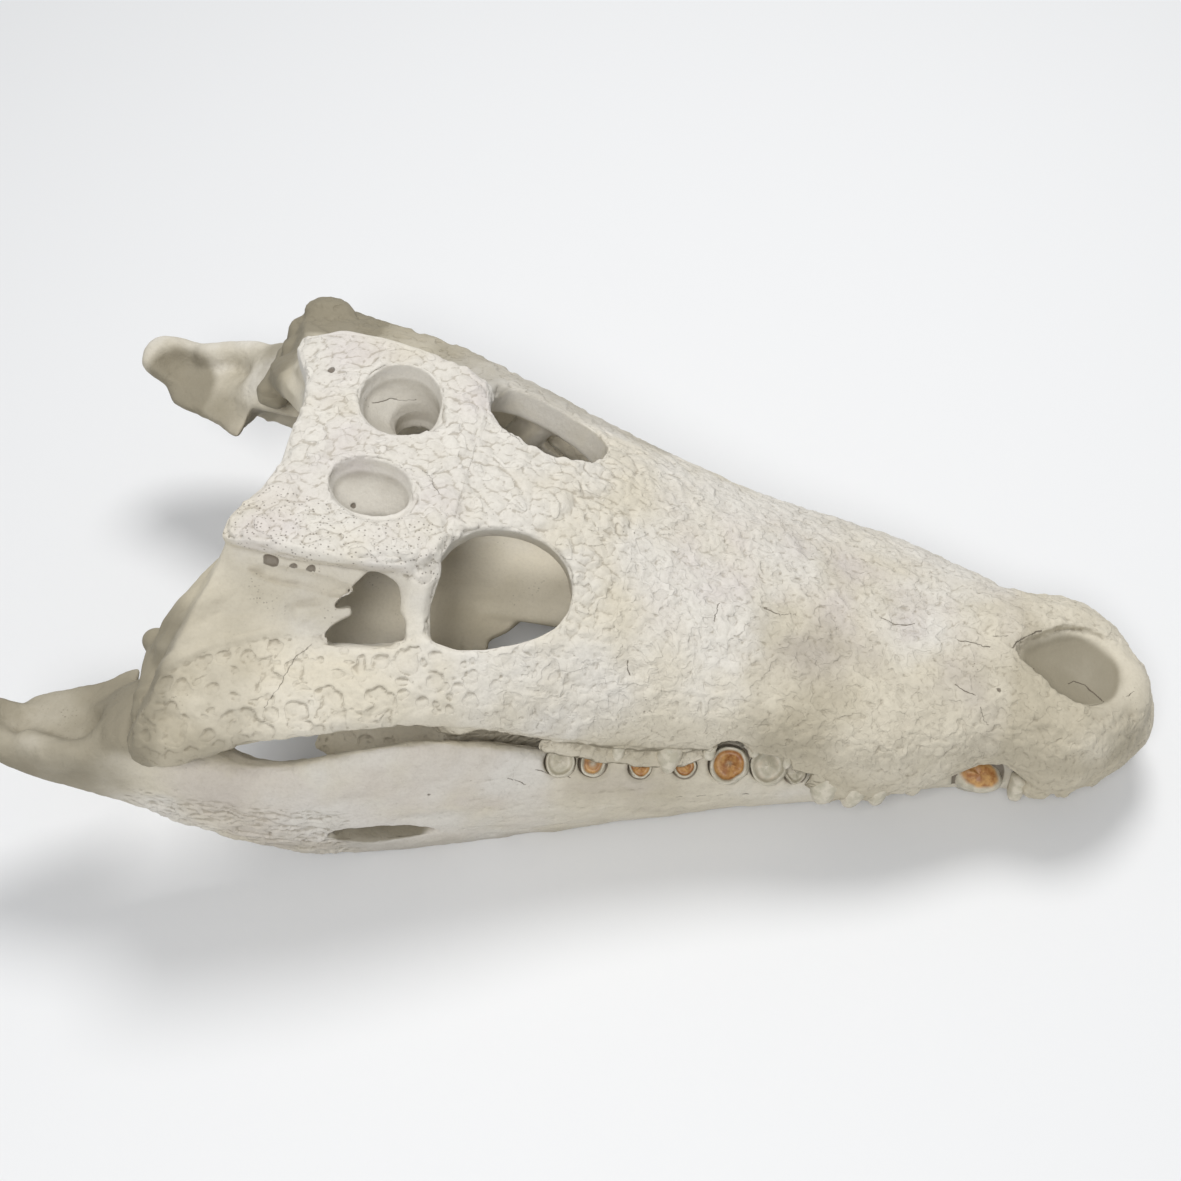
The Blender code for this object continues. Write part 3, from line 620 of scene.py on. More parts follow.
def upper_forms(work):
    """Forms that the solids leave out: plugs to carve bowls from, plates that close gaps, and knobs."""
    bowl(work, [(7.2, 10, 0, 5.8, 5.2), (9.7, 10, 0, 6.6, 5.8)])
    blob(work, (4, 0, 7), (3.2, 5.8, 2.9))
    bowl(work, [(13.2, 87.6, -6, 5, 4.4), (19, 87.6, -6, 5.2, 4.6)])
    bowl(work, [(13.2, 87.6, 6.8, 5, 5), (18.9, 87.6, 6.6, 5.2, 5.2)])
    # Plates behind the cheek's hole, webs and flanges of the palate, and walls beside it.
    plates(work, [(86.4, 13, 18), (90.6, 15.2, 15), (91.4, 19.4, 11.2), (88, 19.8, 10.8), (86.2, 17.2, 13.4),
                  (86, 15.8, 15)], (0, -0.7, -0.9))
    plates(work, [(70, 3, 3.4), (76, 3, 3.4), (76.5, 9.8, 1.9), (73.8, 9.2, 2.2), (74, 7.8, 2.4),
                  (72.2, 6.4, 2.8)], (0, 0, -1.3))
    plates(work, [(75.5, 15.2, -3.2), (84, 15, -3.4), (89.4, 16.2, -3.8), (90, 20, -8.2), (86.5, 20.7, -9),
                  (80, 20.5, -8.6), (75.6, 19.4, -6.6)], (0, -1, -0.6))
    plates(work, [(60, 15, 3.5), (68, 17.4, 4), (76, 20.8, 4.6), (76, 20.8, -4.5), (68, 17.4, -5.5),
                  (60, 15, -5.5)], (0, -0.8, 0))
    for lip in both(LIP):
        rod(work, lip, LIP_RADII)
    for side in (10.6, -10.6):
        blob(work, (11.6, side, 0.4), (1.7, 1.1, 1.5))
    blob(work, (101.4, 28.4, 7.4), (3.2, 2.6, 2.2))
    blob(work, (104.3, 26.6, 5), (1.7, 2.6, 2.3))
    blob(work, (103.4, 23.4, 5.8), (2.4, 2.2, 1.8))
    blob(work, (107, -17.9, 3.2), (1.3, 1.3, 1.5))


def upper_openings(work):
    """The nostril's dish, the roof's bowls, the snout's notches, and the cheek's hole and recess."""
    rings = []
    for height, grow in ((12.4, 1.05), (10.6, 1), (9.8, 0.93), (9.2, 0.8), (8.9, 0.6), (8.8, 0.2)):
        rings.append(rounded([(NOSTRIL_MIDDLE + (s - NOSTRIL_MIDDLE) * grow, y * grow, height)
                              for s, y in NOSTRIL]))
    loft(work, rings)
    bowl(work, [(22, 88.1, -4.9, 4.7, 3.6), (19.4, 88.1, -4.9, 4.1, 3), (18.4, 88, -5.1, 3.7, 2.7),
                (16.3, 86.7, -7, 2.3, 1.8), (15.4, 86.5, -7.4, 1.7, 1.5), (11, 86.5, -7.4, 1.7, 1.5)])
    bowl(work, [(22, 88, 7, 4.7, 5.3), (19.4, 88, 6.9, 4.1, 4.7), (18.3, 87.8, 6.9, 3.8, 4.2),
                (16.8, 86.4, 7.3, 2.7, 2.8), (15.8, 86.1, 7.4, 2.4, 2.4), (11, 86.1, 7.4, 2.4, 2.4)])
    for sign in (1, -1):
        post(work, sideways((22.6, 10.4, -2), sign), sideways((0, 0.5, 0.86), sign), -1, 3.8, 2)
    for side in (15.2, -15.2):
        blob(work, (92.3, side, 15.6), (5.6, 1.1, 1))
    plates(work, CHEEK_HOLE, np.multiply(0.6, WAY_IN), np.multiply(-0.5, WAY_IN))


# The inner edge of the pitted cheek, as (stations, sides), and its top, as (stations, heights).
CHEEK_EDGE = ((62, 66, 72, 79, 84, 90, 95, 100, 104), (15.2, 15.2, 16.6, 18.2, 18.6, 19.4, 21, 23.6, 26.4))
CHEEK_TOP = ((62, 70, 79, 84, 90, 95, 100, 104), (12.4, 14, 13.9, 12.6, 11.8, 11.4, 10.4, 8.4))
CORE_HEIGHT = -6  # of the line along the skull that its outer faces look away from


def sculpture_weights(skin):
    """How strongly each kind of sculpture marks each point of the upper skull, from 0 to 1."""
    station, side, height = skin.places.T
    out = np.abs(side)
    radial = np.stack([np.zeros(len(out)), side, height - CORE_HEIGHT], axis=1)
    radial /= np.linalg.norm(radial, axis=1)[:, None]
    outward = ramp(dots(radial, skin.leaning), 0.05, 0.35)
    snout = ramp(station, 64, 62)
    brow = window(station, 62, 79, 1) * ramp(height, 13, 14.5)
    table = ramp(station, 78.5, 79.5) * ramp(height, 17.4, 18.4) * ramp(skin.leaning[:, 2], 0.15, 0.5)
    table *= 1 - window(station, 84, 99, 1) * ramp(out, 14.2, 14.7)
    edge, top = np.interp(station, *CHEEK_EDGE), np.interp(station, *CHEEK_TOP)
    cheek = ramp(station, 61, 63) * ramp(out, edge - 1.6, edge - 0.4) * ramp(height, top + 1.4, top)
    marked = outward * np.maximum.reduce([snout, brow, table, cheek])
    dish = distance_from(skin.places, (NOSTRIL_MIDDLE, 0, 9.2), (0.13, 0.19, 0.8))
    bowls = np.maximum(window(side, 2, 12.2, 0.5), window(side, -8.8, -1, 0.5))
    bowls *= window(station, 83, 93.4, 0.5)
    marked *= ramp(dish, 0.9, 1.2) * (1 - bowls * ramp(height, 19.9, 19.2))
    return marked, table, cheek * outward, brow


def sculpture_upper(skin, surface):
    """Pits, basins, wrinkles and lumps on the outer faces of the upper skull."""
    marked, table, cheek, brow = sculpture_weights(skin)
    picked = marked > 0.02
    spots = skin.places[picked]
    station, side, _ = spots.T
    cheek, table, brow = cheek[picked], table[picked], brow[picked]
    slope = -np.sign(side) * ramp(np.abs(side), 0, 5)
    uphill = np.stack([np.full(len(side), 0.25), slope, np.full(len(side), 0.5)], axis=1)
    warped = spots + 0.4 * drift(spots, 1.5, 1) + 0.12 * drift(spots, 0.5, 4)
    rear = cheek * ramp(station, 66, 80)
    roof = np.maximum(table, brow) * (1 - rear)
    nose = ramp(station, 24, 14)
    middle = ramp(np.abs(side), 7, 4) * ramp(station, 24, 46)
    patches = fractal(spots, 5, 41, 2)
    corner = table * ramp(station, 92, 96) * ramp(side, 3, 8)

    def basins(shift):
        """Distance in millimetres to the rims of the basins, below 0 inside them."""
        moved = warped - shift * uphill
        rings = pits(moved, 1.9, 11, 0.32, 0.6, np.maximum(rear, corner))
        small = fractal(moved * (0.75, 1, 1), 0.95, 51, 2) + 0.1 * patches + 0.45 * rear + 0.15
        broad = fractal(moved, 1.8, 61, 2) + 0.4 * (1 - roof) + 0.35 * rear - 0.05
        return np.minimum(np.minimum(rings, 0.6 * small), 1.1 * broad) * MILLIMETRES

    def write_marked(name, values, rest=0):
        """Stores a value for the picked points, fading to rest where the bone isn't marked."""
        full = np.full(len(skin.points), float(rest))
        full[picked] = values
        skin.write(name, full * marked + rest * (1 - marked))

    relief, below = basins(0), basins(0.55)
    sunk = ramp(relief, 0.5, -0.6) * (0.25 + 0.75 * ramp(below, 1.5, -2.5))
    sunk *= 0.0003 + 0.0009 * rear + 0.0002 * roof
    flow = fractal(warped * (0.28, 1.15, 1.15), 1.2, 61, 2)
    rise = flow * (0.2 + 0.6 * middle + 0.4 * brow) * 0.0006 + fractal(spots, 4.5, 71, 2) * 0.0007
    rise += fractal(warped, 1.5, 77, 3) * (0.0006 + 0.0002 * nose - 0.0003 * rear) - sunk
    domes = mounds(warped * (0.85, 1, 1), 1.25, 79, 0.5)
    rise += domes * (0.0008 + 0.0015 * roof) * (1 - rear) + fractal(warped, 1.1, 87, 2) * 0.0006 * rear
    rise += mounds(warped, 0.8, 89, 0.3) * 0.0009 * (1 - roof) * (1 - rear)
    # Strength of the painted shade lines along the basins' rims, on the side of each rim found by shifting
    # the basins uphill.
    rim = ramp(relief - below, 0.2, 2) * (0.35 + 0.65 * np.maximum(rear, 0.5 * roof))
    fine = (1 - 0.75 * rear) * (1 - 0.5 * nose) * (1 - 0.45 * roof) * 0.7

    # Strands run down the smooth faces at the back, which have a recess on each side.
    station, side, height = skin.places.T
    change = fractal(skin.places, 6, 81, 2) * 0.0003 * (1 - marked)
    flow = np.array((-0.82, 0.24, 0.52)) * np.where(side > 0, -1, 1)[:, None] ** (0, 1, 0)
    along = dots(skin.places, flow)
    strands = fractal(skin.places - 0.78 * along[:, None] * flow, 2.4, 85, 3)
    smooth = window(station, 83, 106, 2) * ramp(np.abs(side), 14, 15) * (1 - marked)
    recess = window(station, 85, 98, 2) * ramp(np.abs(side), 14.5, 15.1) * window(height, 15.6, 19, 0.7)
    change += smooth * strands * 0.0016 - recess * 0.0012
    change[picked] += marked[picked] * surface.sculpture * rise
    skin.swell(change)
    write_marked("relief", np.clip(relief, -2, 2), 2)
    skin.write("marked", marked)
    write_marked("rim", rim)
    write_marked("fine", fine)


def tint_upper(skin):
    """Where the bone is warm, lilac, stained or porous, with painted shade and painted light among its warm
    and stained tones.
    """
    station, side, height = skin.places.T
    out = np.abs(side)
    clouds = fractal(skin.places, 9, 131, 3)
    outward = skin.leaning[:, 2] + 0.5 * skin.leaning[:, 1] * np.sign(side)
    warm = 0.22 + 0.35 * clouds + 0.15 * ramp(out, 8, 20) * ramp(station, 70, 90)
    # Painted shade: faces turned down or inwards get warmer, darker tones.
    warm += 0.4 * ramp(outward, 0.4, -0.2)
    warm += 0.5 * window(station, 2, 16, 3) + 0.35 * ramp(height, 9, 3) + 0.5 * ramp(station, 98, 104)
    warm -= 0.25 * ramp(station, 50, 75) * ramp(height, 14, 19)
    warm += 0.35 * window(station, 88, 100, 4) * ramp(out, 18, 24)
    # Painted light: faces turned down or inwards from station 58 to 102, inside the orbits and openings, are
    # paler.
    warm -= 0.7 * ramp(outward, 0.2, -0.3) * ramp(station, 58, 64) * ramp(station, 102, 98)
    # The snout's right side, towards the camera, is warmer and darker: partly the bone's tan, partly painted
    # shade, as the left side keeps its pale tone.
    warm += 0.45 * window(station, 14, 40, 8) * ramp(side, 2, -6)
    skin.write("warm", np.clip(warm, 0, 1))
    lilac = window(station, 24, 52, 10) * ramp(out, 14, 4)
    lilac += window(station, 80, 99, 3) * ramp(height, 17.5, 19)
    skin.write("lilac", np.clip(0.9 * lilac * (0.5 + fractal(skin.places, 5, 141, 2)), 0, 1))
    bowls = window(out, 2.5, 12, 1) * window(station, 83, 93, 1) * window(height, 14.8, 18.6, 0.8)
    dish = distance_from(skin.places, (11.4, 0, 0), (0.15, 0.2, 0))
    stain_and_shade = 0.62 * ramp(dish, 1.05, 0.85) * ramp(height, 10.2, 9.2)
    # A faint stain over the snout, with a painted shade extra on its right side towards the camera.
    stain_and_shade += window(station, -4, 44, 8) * ramp(height, 4, 6) * (0.26 + 0.12 * ramp(side, 2, -6))
    stain_and_shade += ramp(station, 101, 104) * ramp(height, 13, 9) * (0.7 + 0.3 * clouds) * (0.55 + 0.45 * (side > 0))
    stain_and_shade += 0.75 * window(station, 96, 106, 2) * window(side, 24, 32, 2) * ramp(height, 4.5, 6.5)
    stain_and_shade += 0.55 * window(station, 60, 106, 4) * ramp(side, 13, 17) * ramp(outward, 0, 0.3) + 0.55 * bowls
    stain_and_shade += 0.42 * ramp(station, 86, 96) * ramp(side, -15, -20)
    # Painted shade: faces turned down low under the upper margin, over the lower teeth.
    stain_and_shade += 0.9 * ramp(skin.leaning[:, 2], 0.1, -0.3) * window(station, 36, 66, 2) * ramp(height, 5, 3.5)
    # Painted shade in the gaps round the crowns that the margin arches over.
    stain_and_shade += 0.5 * ramp(crown_reach(skin.places, CROWNS[ARCHED:]), 1, 0.3)
    skin.write("stain_and_shade", np.clip(stain_and_shade, 0, 1))
    rim = window(station, 79, 100, 1) * window(side, -14.6, -9, 1.5) * ramp(height, 17, 18.5)
    skin.write("porous", np.clip(rim + 0.35 * ramp(fractal(skin.places, 4, 151, 2), 0.3, 0.8), 0, 1))


# Cracks and open sutures, as (half width in millimetres, route), and small holes, as (place, radius).
UPPER_CRACKS = (
    (0.5, ((18.3, -0.3, 11.2), (17.3, 1.2, 10.9), (16.2, 2.3, 10.9), (14.8, 3.2, 10.8))),
    (0.4, ((17.3, -2.6, 10.8), (15, -0.9, 9.1))),
    (0.45, ((11.1, -1.7, 8.8), (10.4, -1.2, 8.8), (9.2, -1.4, 8.8), (8, -2.3, 8.9), (7.1, -3.6, 9.2))),
    (0.35, ((7.1, -3.6, 9.2), (8.5, -4.4, 9.4), (10.3, -5.4, 10.2), (11.5, -5.2, 10.2))),
    (0.3, ((24.4, -0.8, 10.9), (22.4, -0.7, 11), (20.7, -0.9, 11.2))),
    (0.25, ((20.7, 0.4, 11.2), (18.7, 1.2, 11.2))),
    (0.25, ((33.2, 0, 11.1), (31.4, -0.6, 11), (29.2, 0, 11))),
    (0.25, ((24.2, -6.4, 10.6), (23, -6.9, 10.5), (21.8, -7.2, 10.4))),
    (0.22, ((21.2, -8.2, 10), (20.6, -9, 9.6), (19.8, -9.6, 9))),
    (0.22, ((4.6, -2.3, 10), (3.2, -0.8, 9), (1.7, 0.7, 7.7))),
    (0.15, ((90, -19.8, 12), (91.1, -21.4, 11.5), (91.5, -22.9, 11.1), (91.7, -24.1, 10.7),
            (92.4, -25.9, 9.8), (92.9, -26.7, 9.5))),
    (0.22, ((91.2, 7.5, 18.1), (89.5, 9.2, 17.4), (87, 10.2, 17))),
    (0.18, ((83.7, -1.6, 20.3), (82.6, -2.5, 20.2), (82.1, -3.4, 20.2), (81.2, -4.4, 20.3))),
    (0.4, ((50.8, -4.7, 13.3), (51, -5.8, 13.1), (51, -7, 13))),
    (0.3, ((46.5, -3.4, 12.6), (44.1, -3.7, 12), (42.3, -3, 11.9))),
    (0.35, ((59.1, -13.8, 12.4), (58.5, -15, 11.5))),
    (0.3, ((78, 7.6, 20), (74.4, 5.2, 19.6))),
)
UPPER_HOLES = (
    ((19.4, -6, 10.7), 0.35), ((89.7, -5.6, 16.9), 0.3), ((96, 8.9, 20.2), 0.4), ((95.6, -14.2, 16.4), 0.8),
    ((91.6, -14, 16.3), 0.5), ((93.4, -14, 16.3), 0.4), ((71.9, -2, 19.3), 0.2), ((44, -10.4, 11.6), 0.2),
    ((36, -9, 10.9), 0.22),
)


# --- the lower jaw ---


def lower_forms(work):
    """The flange on the inner side of the joint and the thick upper edge behind it."""
    plates(work, [(107.6, 23.6, -2), (108.6, 19.4, -3.4), (108.8, 17.6, -3.7), (109.5, 16.6, -3.9),
                  (110.6, 17.1, -4), (112.6, 18.8, -4.6), (115, 20, -5.2), (117.3, 20.7, -5.6),
                  (119, 21.5, -5.8), (120.2, 23.2, -5.8), (119.4, 26.4, -5.4), (114, 27.4, -4.4),
                  (109, 26, -3)], (0.2, 0.8, -1.4))
    for edge in both([(118, 28.4, -4.6), (114, 29.4, -4), (109.5, 29.6, -2.2)]):
        rod(work, edge, (1.6, 1.8, 1.4))


def lower_openings(work):
    """The slope that thins the jaw under its joint, and the slit in its outer side."""
    ahead = [(12, 1.4), (17.8, 0.6), (26.4, -9), (27.6, -18), (12, -18)]
    behind = [(12, -3), (19, -5.6), (25.4, -9), (30, -18), (12, -18)]
    for sign in (1, -1):
        loft(work, [[(station, side * sign, height) for side, height in outline]
                    for station, outline in ((94, ahead), (108.4, ahead), (109.4, behind), (113.6, behind))])
        blob(work, (81, 27.6 * sign, -11.5), (5.3, 2.4, 0.9))


def sculpture_lower(skin, surface):
    """Faint lines along the jaw, and wavy ridges and basins on its heel."""
    station, side, height = skin.places.T
    outer = ramp(skin.leaning[:, 1] * np.sign(side), -0.2, 0.3)
    heel = window(station, 86, 104, 4) * ramp(height, -3.5, -8) * outer
    warp = 0.5 * drift(skin.places, 2.2, 201)
    folds = noise((skin.places + warp) * (0.35, 1, 1.1), 0.85, 211)
    ridges = ramp(np.abs(folds), 0.45, 0) + 0.5 * fractal(skin.places * (0.5, 1, 1), 0.9, 215, 2)
    lines = fractal(skin.places * (0.1, 1, 1), 0.8, 221, 2) * window(station, 8, 70, 4) * outer
    lumps = fractal(skin.places, 5, 231, 2) * 0.0006 + fractal(skin.places, 1.3, 233, 3) * 0.0004
    lumps += fractal(skin.places * (0.45, 1, 1), 2.6, 237, 2) * 0.0008 * outer * window(station, 56, 92, 6)
    slit = np.linalg.norm((skin.places[:, (0, 2)] - (81, -11.3)) / (5.5, 1.9), axis=1)
    slit = ramp(slit, 1, 0.75) * ramp(np.abs(side), 23, 24)
    change = heel * (ridges - 0.5) * (1 - slit) * 0.0018 + lines * 0.0004 + lumps
    skin.swell(surface.sculpture * change - slit * 0.0015)
    moved = (skin.places + warp) * (0.5, 1, 1)
    basins = 1.2 * (fractal(moved, 1.3, 241, 2) + 0.75 - 0.75 * heel)
    skin.write("relief", np.clip(basins * MILLIMETRES, -2, 2))
    skin.write("marked", np.maximum(0.3, heel))
    # Strength of the painted shade lines along the rims, strongest on the heel.
    skin.write("rim", np.maximum(0.2, heel))
    skin.write("fine", 0.4 + 0.5 * heel)
    tint_lower(skin, station, side, height, outer, slit)


def tint_lower(skin, station, side, height, outer, slit):
    """Where the jaw is warm, lilac, stained or porous, with painted shade in its slit and round its crowns;
    the places are from before the sculpture.
    """
    clouds = fractal(skin.places, 8, 251, 3)
    skin.write("warm", np.clip(0.55 + 0.4 * clouds - 0.3 * window(station, 66, 92, 4) * outer, 0, 1))
    skin.write("lilac", np.clip(0.6 * window(station, 66, 100, 5) * outer + 0.4 * clouds, 0, 1))
    stain_and_shade = ramp(station, 100, 110) * (0.55 + 0.3 * clouds + 0.2 * (side < 0)) + 0.4 * ramp(height, -10, -14)
    blot = distance_from(skin.places, (118.6, 23.8, -5.2), (1, 0.8, 0.8))
    # Painted shade in the slit and round the crowns.
    stain_and_shade += 1.2 * slit + 0.4 * ramp(crown_reach(skin.places, CROWNS + NOTCH_TEETH), 1, 0.3)
    stain_and_shade += 1.3 * ramp(blot, 5, 1.5) + 0.5 * window(station, 104, 108.5, 2) * ramp(height, -1, 2)
    skin.write("stain_and_shade", np.clip(stain_and_shade, 0, 1))
    skin.write("porous", 0.35 * ramp(fractal(skin.places, 5, 261, 2), 0.3, 0.9))


LOWER_CRACKS = (
    (0.3, ((68.6, -23.1, -0.1), (67.6, -22.8, -0.8), (66.5, -22.5, -1.6))),
    (0.3, ((66, -21.8, 0.6), (64, -21.4, -0.2), (61.9, -20.9, -0.9))),
    (0.3, ((50.4, -18, -5.2), (49.6, -17.8, -5.1))),
    (0.3, ((48.3, -17.4, -5.1), (47.2, -17.2, -4.9))),
    (0.3, ((46.1, -16.9, -4.9), (45.3, -16.7, -4.7))),
    (0.3, ((43.4, -16.2, -4.8), (42.6, -16, -4.6))),
)
LOWER_HOLES = (((56, -19, -6), 0.2), ((33, -13, -4.4), 0.2), ((76, -26, -2), 0.2), ((72, -24.6, 0), 0.18))


# --- parting along sutures ---

KERF = 0.00003  # width of the hairline between two bones
SIDES, BELOW, ABOVE = 36, -12, 23  # reach past the skull on every side, as sides and heights
CHEEK = [(61, 17), (66, 13.4), (94, 13.4), (94, SIDES), (61, SIDES)]


def span(front, back, near, far):
    """A rectangle of (station, side) corners."""
    return [(front, near), (back, near), (back, far), (front, far)]


def mirrored(outline):
    return [(station, -side) for station, side in outline]


def twins(name, front, back, low, high):
    """The regions of a left bone and of its right twin, which meet in the middle."""
    return [(f"{name}_left", span(front, back, 0, SIDES), low, high),
            (f"{name}_right", span(front, back, -SIDES, 0), low, high)]


# Regions of the bones, as (name, outline, lowest height, highest height), in the order of cutting.
UPPER_REGIONS = [
    ("premaxilla", span(-3, 17.2, -SIDES, SIDES), BELOW, ABOVE),
    ("palate", span(56, 97, -15.6, 15.6), BELOW, 6.2),
    ("skull_table", span(79, 112, -SIDES, SIDES), 16, ABOVE),
    ("braincase", span(79, 112, -8.8, 8.8), BELOW, 16),
    ("nasals", span(17.2, 61, -3.4, 3.4), 6.4, ABOVE),
    *twins("maxilla", 17.2, 61, BELOW, ABOVE),
    ("jugal_left", CHEEK, BELOW, 16),
    ("jugal_right", mirrored(CHEEK), BELOW, 16),
    *twins("quadrate", 80, 112, BELOW, 16),
    ("forehead", None, 0, 0),
]
JAW_LOW = -26
LOWER_REGIONS = [
    *twins("articular", 101.5, 128, JAW_LOW, ABOVE),
    *twins("surangular", 68, 101.5, JAW_LOW, ABOVE),
    ("dentary_left", span(-3, 68, 0, SIDES), JAW_LOW, ABOVE),
    ("dentary_right", None, 0, 0),
]
WALL_GRID = 0.003  # grid of a cutter's walls
SWAY, SWAY_SIZE = 0.0016, 0.009  # how far a suture wanders, and how far apart its bends are
HEALING_ROUNDS = 3  # how many rows of cut points take the values of older ones
SHARP_ANGLE = 70  # degrees between faces that are shaded apart


def wavy_block(outline, low, high, grow):
    """A cutter over a (station, side) outline between two heights, its walls wavy and grown outwards."""
    work = bmesh.new()
    loft(work, [[(s, y, h) for s, y in outline] for h in (low, high)])
    face_outwards(work)
    wall = Skin(skinned(saved("block", work), WALL_GRID))
    sway = np.stack([fractal(wall.points, SWAY_SIZE, seed, 2) for seed in (91, 93, 95)], axis=1)
    wall.points += SWAY * sway + grow * wall.facing
    wall.measure()
    return wall.mesh


def parted(mesh, regions):
    """The mesh cut into one named bone for each region, in order; the last is what is left."""
    bones = []
    for name, outline, low, high in regions:
        bone = mesh
        if outline:
            bone = sawn(mesh, wavy_block(outline, low, high, 0), "INTERSECT")
            mesh = sawn(mesh, wavy_block(outline, low, high, KERF), "DIFFERENCE")
        bones.append((name, bone))
    return bones


def heal_cuts(mesh):
    """Gives the points that the cuts have made the mean values of the older points next to them."""
    skin = Skin(mesh)
    layers = {layer.name: layer.data for layer in mesh.attributes if layer.data_type == "FLOAT"}
    values = {name: read(data, "value") for name, data in layers.items()}
    for _ in range(HEALING_ROUNDS):
        known = values["old"] > 0.99
        weight = skin.gathered(known.astype(float))
        fresh = ~known & (weight > 0)
        for amounts in values.values():
            amounts[fresh] = (skin.gathered(amounts * known) / np.maximum(weight, 1))[fresh]
    for name, data in layers.items():
        data.foreach_set("value", values[name])


def finish_bone(name, mesh):
    """Dresses a bone, makes it ride on the skull and stand for its solid."""
    heal_cuts(mesh)
    mesh.materials.clear()
    mesh.materials.append(bpy.data.materials[SLOTS[name]])
    mesh.shade_smooth()
    mesh.set_sharp_from_angle(angle=math.radians(SHARP_ANGLE))
    bone = new_object(f"{name}_bone", mesh)
    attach(bone, "root")
    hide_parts(name)


def part_bones(skin, regions):
    """Holds a finished skin inside the box of the solids and makes its bones."""
    low, high = (np.array(corner) for corner in cad_box)
    skin.points = np.clip(skin.points, low, high)
    skin.measure()
    write_hollows(skin)
    for name, mesh in parted(skin.mesh, regions):
        finish_bone(name, mesh)


# --- finishes ---


class Link:
    """A shader node's output, with arithmetic that adds Math nodes."""

    def __init__(self, tree, socket=None):
        self.tree = tree
        self.socket = socket

    def node(self, kind, settings=None, inputs=None, output=0):
        """Adds a node: its settings are set first, then its inputs are filled or linked."""
        made = self.tree.nodes.new("ShaderNode" + kind)
        for key, value in (settings or {}).items():
            setattr(made, key, value)
        for key, value in (inputs or {}).items():
            if isinstance(value, Link):
                self.tree.links.new(value.socket, made.inputs[key])
            else:
                made.inputs[key].default_value = value
        return Link(self.tree, made.outputs[output])

    def math(self, operation, *values):
        return self.node("Math", {"operation": operation}, dict(enumerate(values)))

    def __add__(self, other):
        return self.math("ADD", self, other)

    def __sub__(self, other):
        return self.math("SUBTRACT", self, other)

    def __rsub__(self, other):
        return self.math("SUBTRACT", other, self)

    def __mul__(self, other):
        return self.math("MULTIPLY", self, other)

    __radd__ = __add__
    __rmul__ = __mul__

    def between(self, low, high):
        """0 at low, 1 at high, clamped and smooth."""
        settings = {"interpolation_type": "SMOOTHSTEP"}
        return self.node("MapRange", settings, {0: self, 1: low, 2: high, 3: 0.0, 4: 1.0})

    def mixed(self, first, second):
        """The first colour where this value is 0, the second where it is 1."""
        return self.node("Mix", {"data_type": "RGBA"}, {0: self, 6: first, 7: second}, 2)


def empty_tree(name):
    """The start of an empty shader tree, in the material of that name."""
    material = bpy.data.materials.get(name) or bpy.data.materials.new(name)
    material.use_nodes = True
    material.node_tree.nodes.clear()
    return Link(material.node_tree)


def end_tree(colour, roughness, bump, specular):
    """Leads the finished values to a shader and on to the output."""
    inputs = {"Base Color": colour, "Roughness": roughness, "Normal": bump, "Specular IOR Level": specular}
    shader = colour.node("BsdfPrincipled", None, inputs)
    out = colour.tree.nodes.new("ShaderNodeOutputMaterial")
    colour.tree.links.new(shader.socket, out.inputs[0])


def texture(spot, scale, detail, **more):
    """Noise over the spots."""
    return spot.node("TexNoise", None, {"Vector": spot, "Scale": scale, "Detail": detail, **more})


def layer(start, attribute):
    """The values that the mesh carries under a name."""
    return start.node("Attribute", {"attribute_name": attribute}, output="Fac")


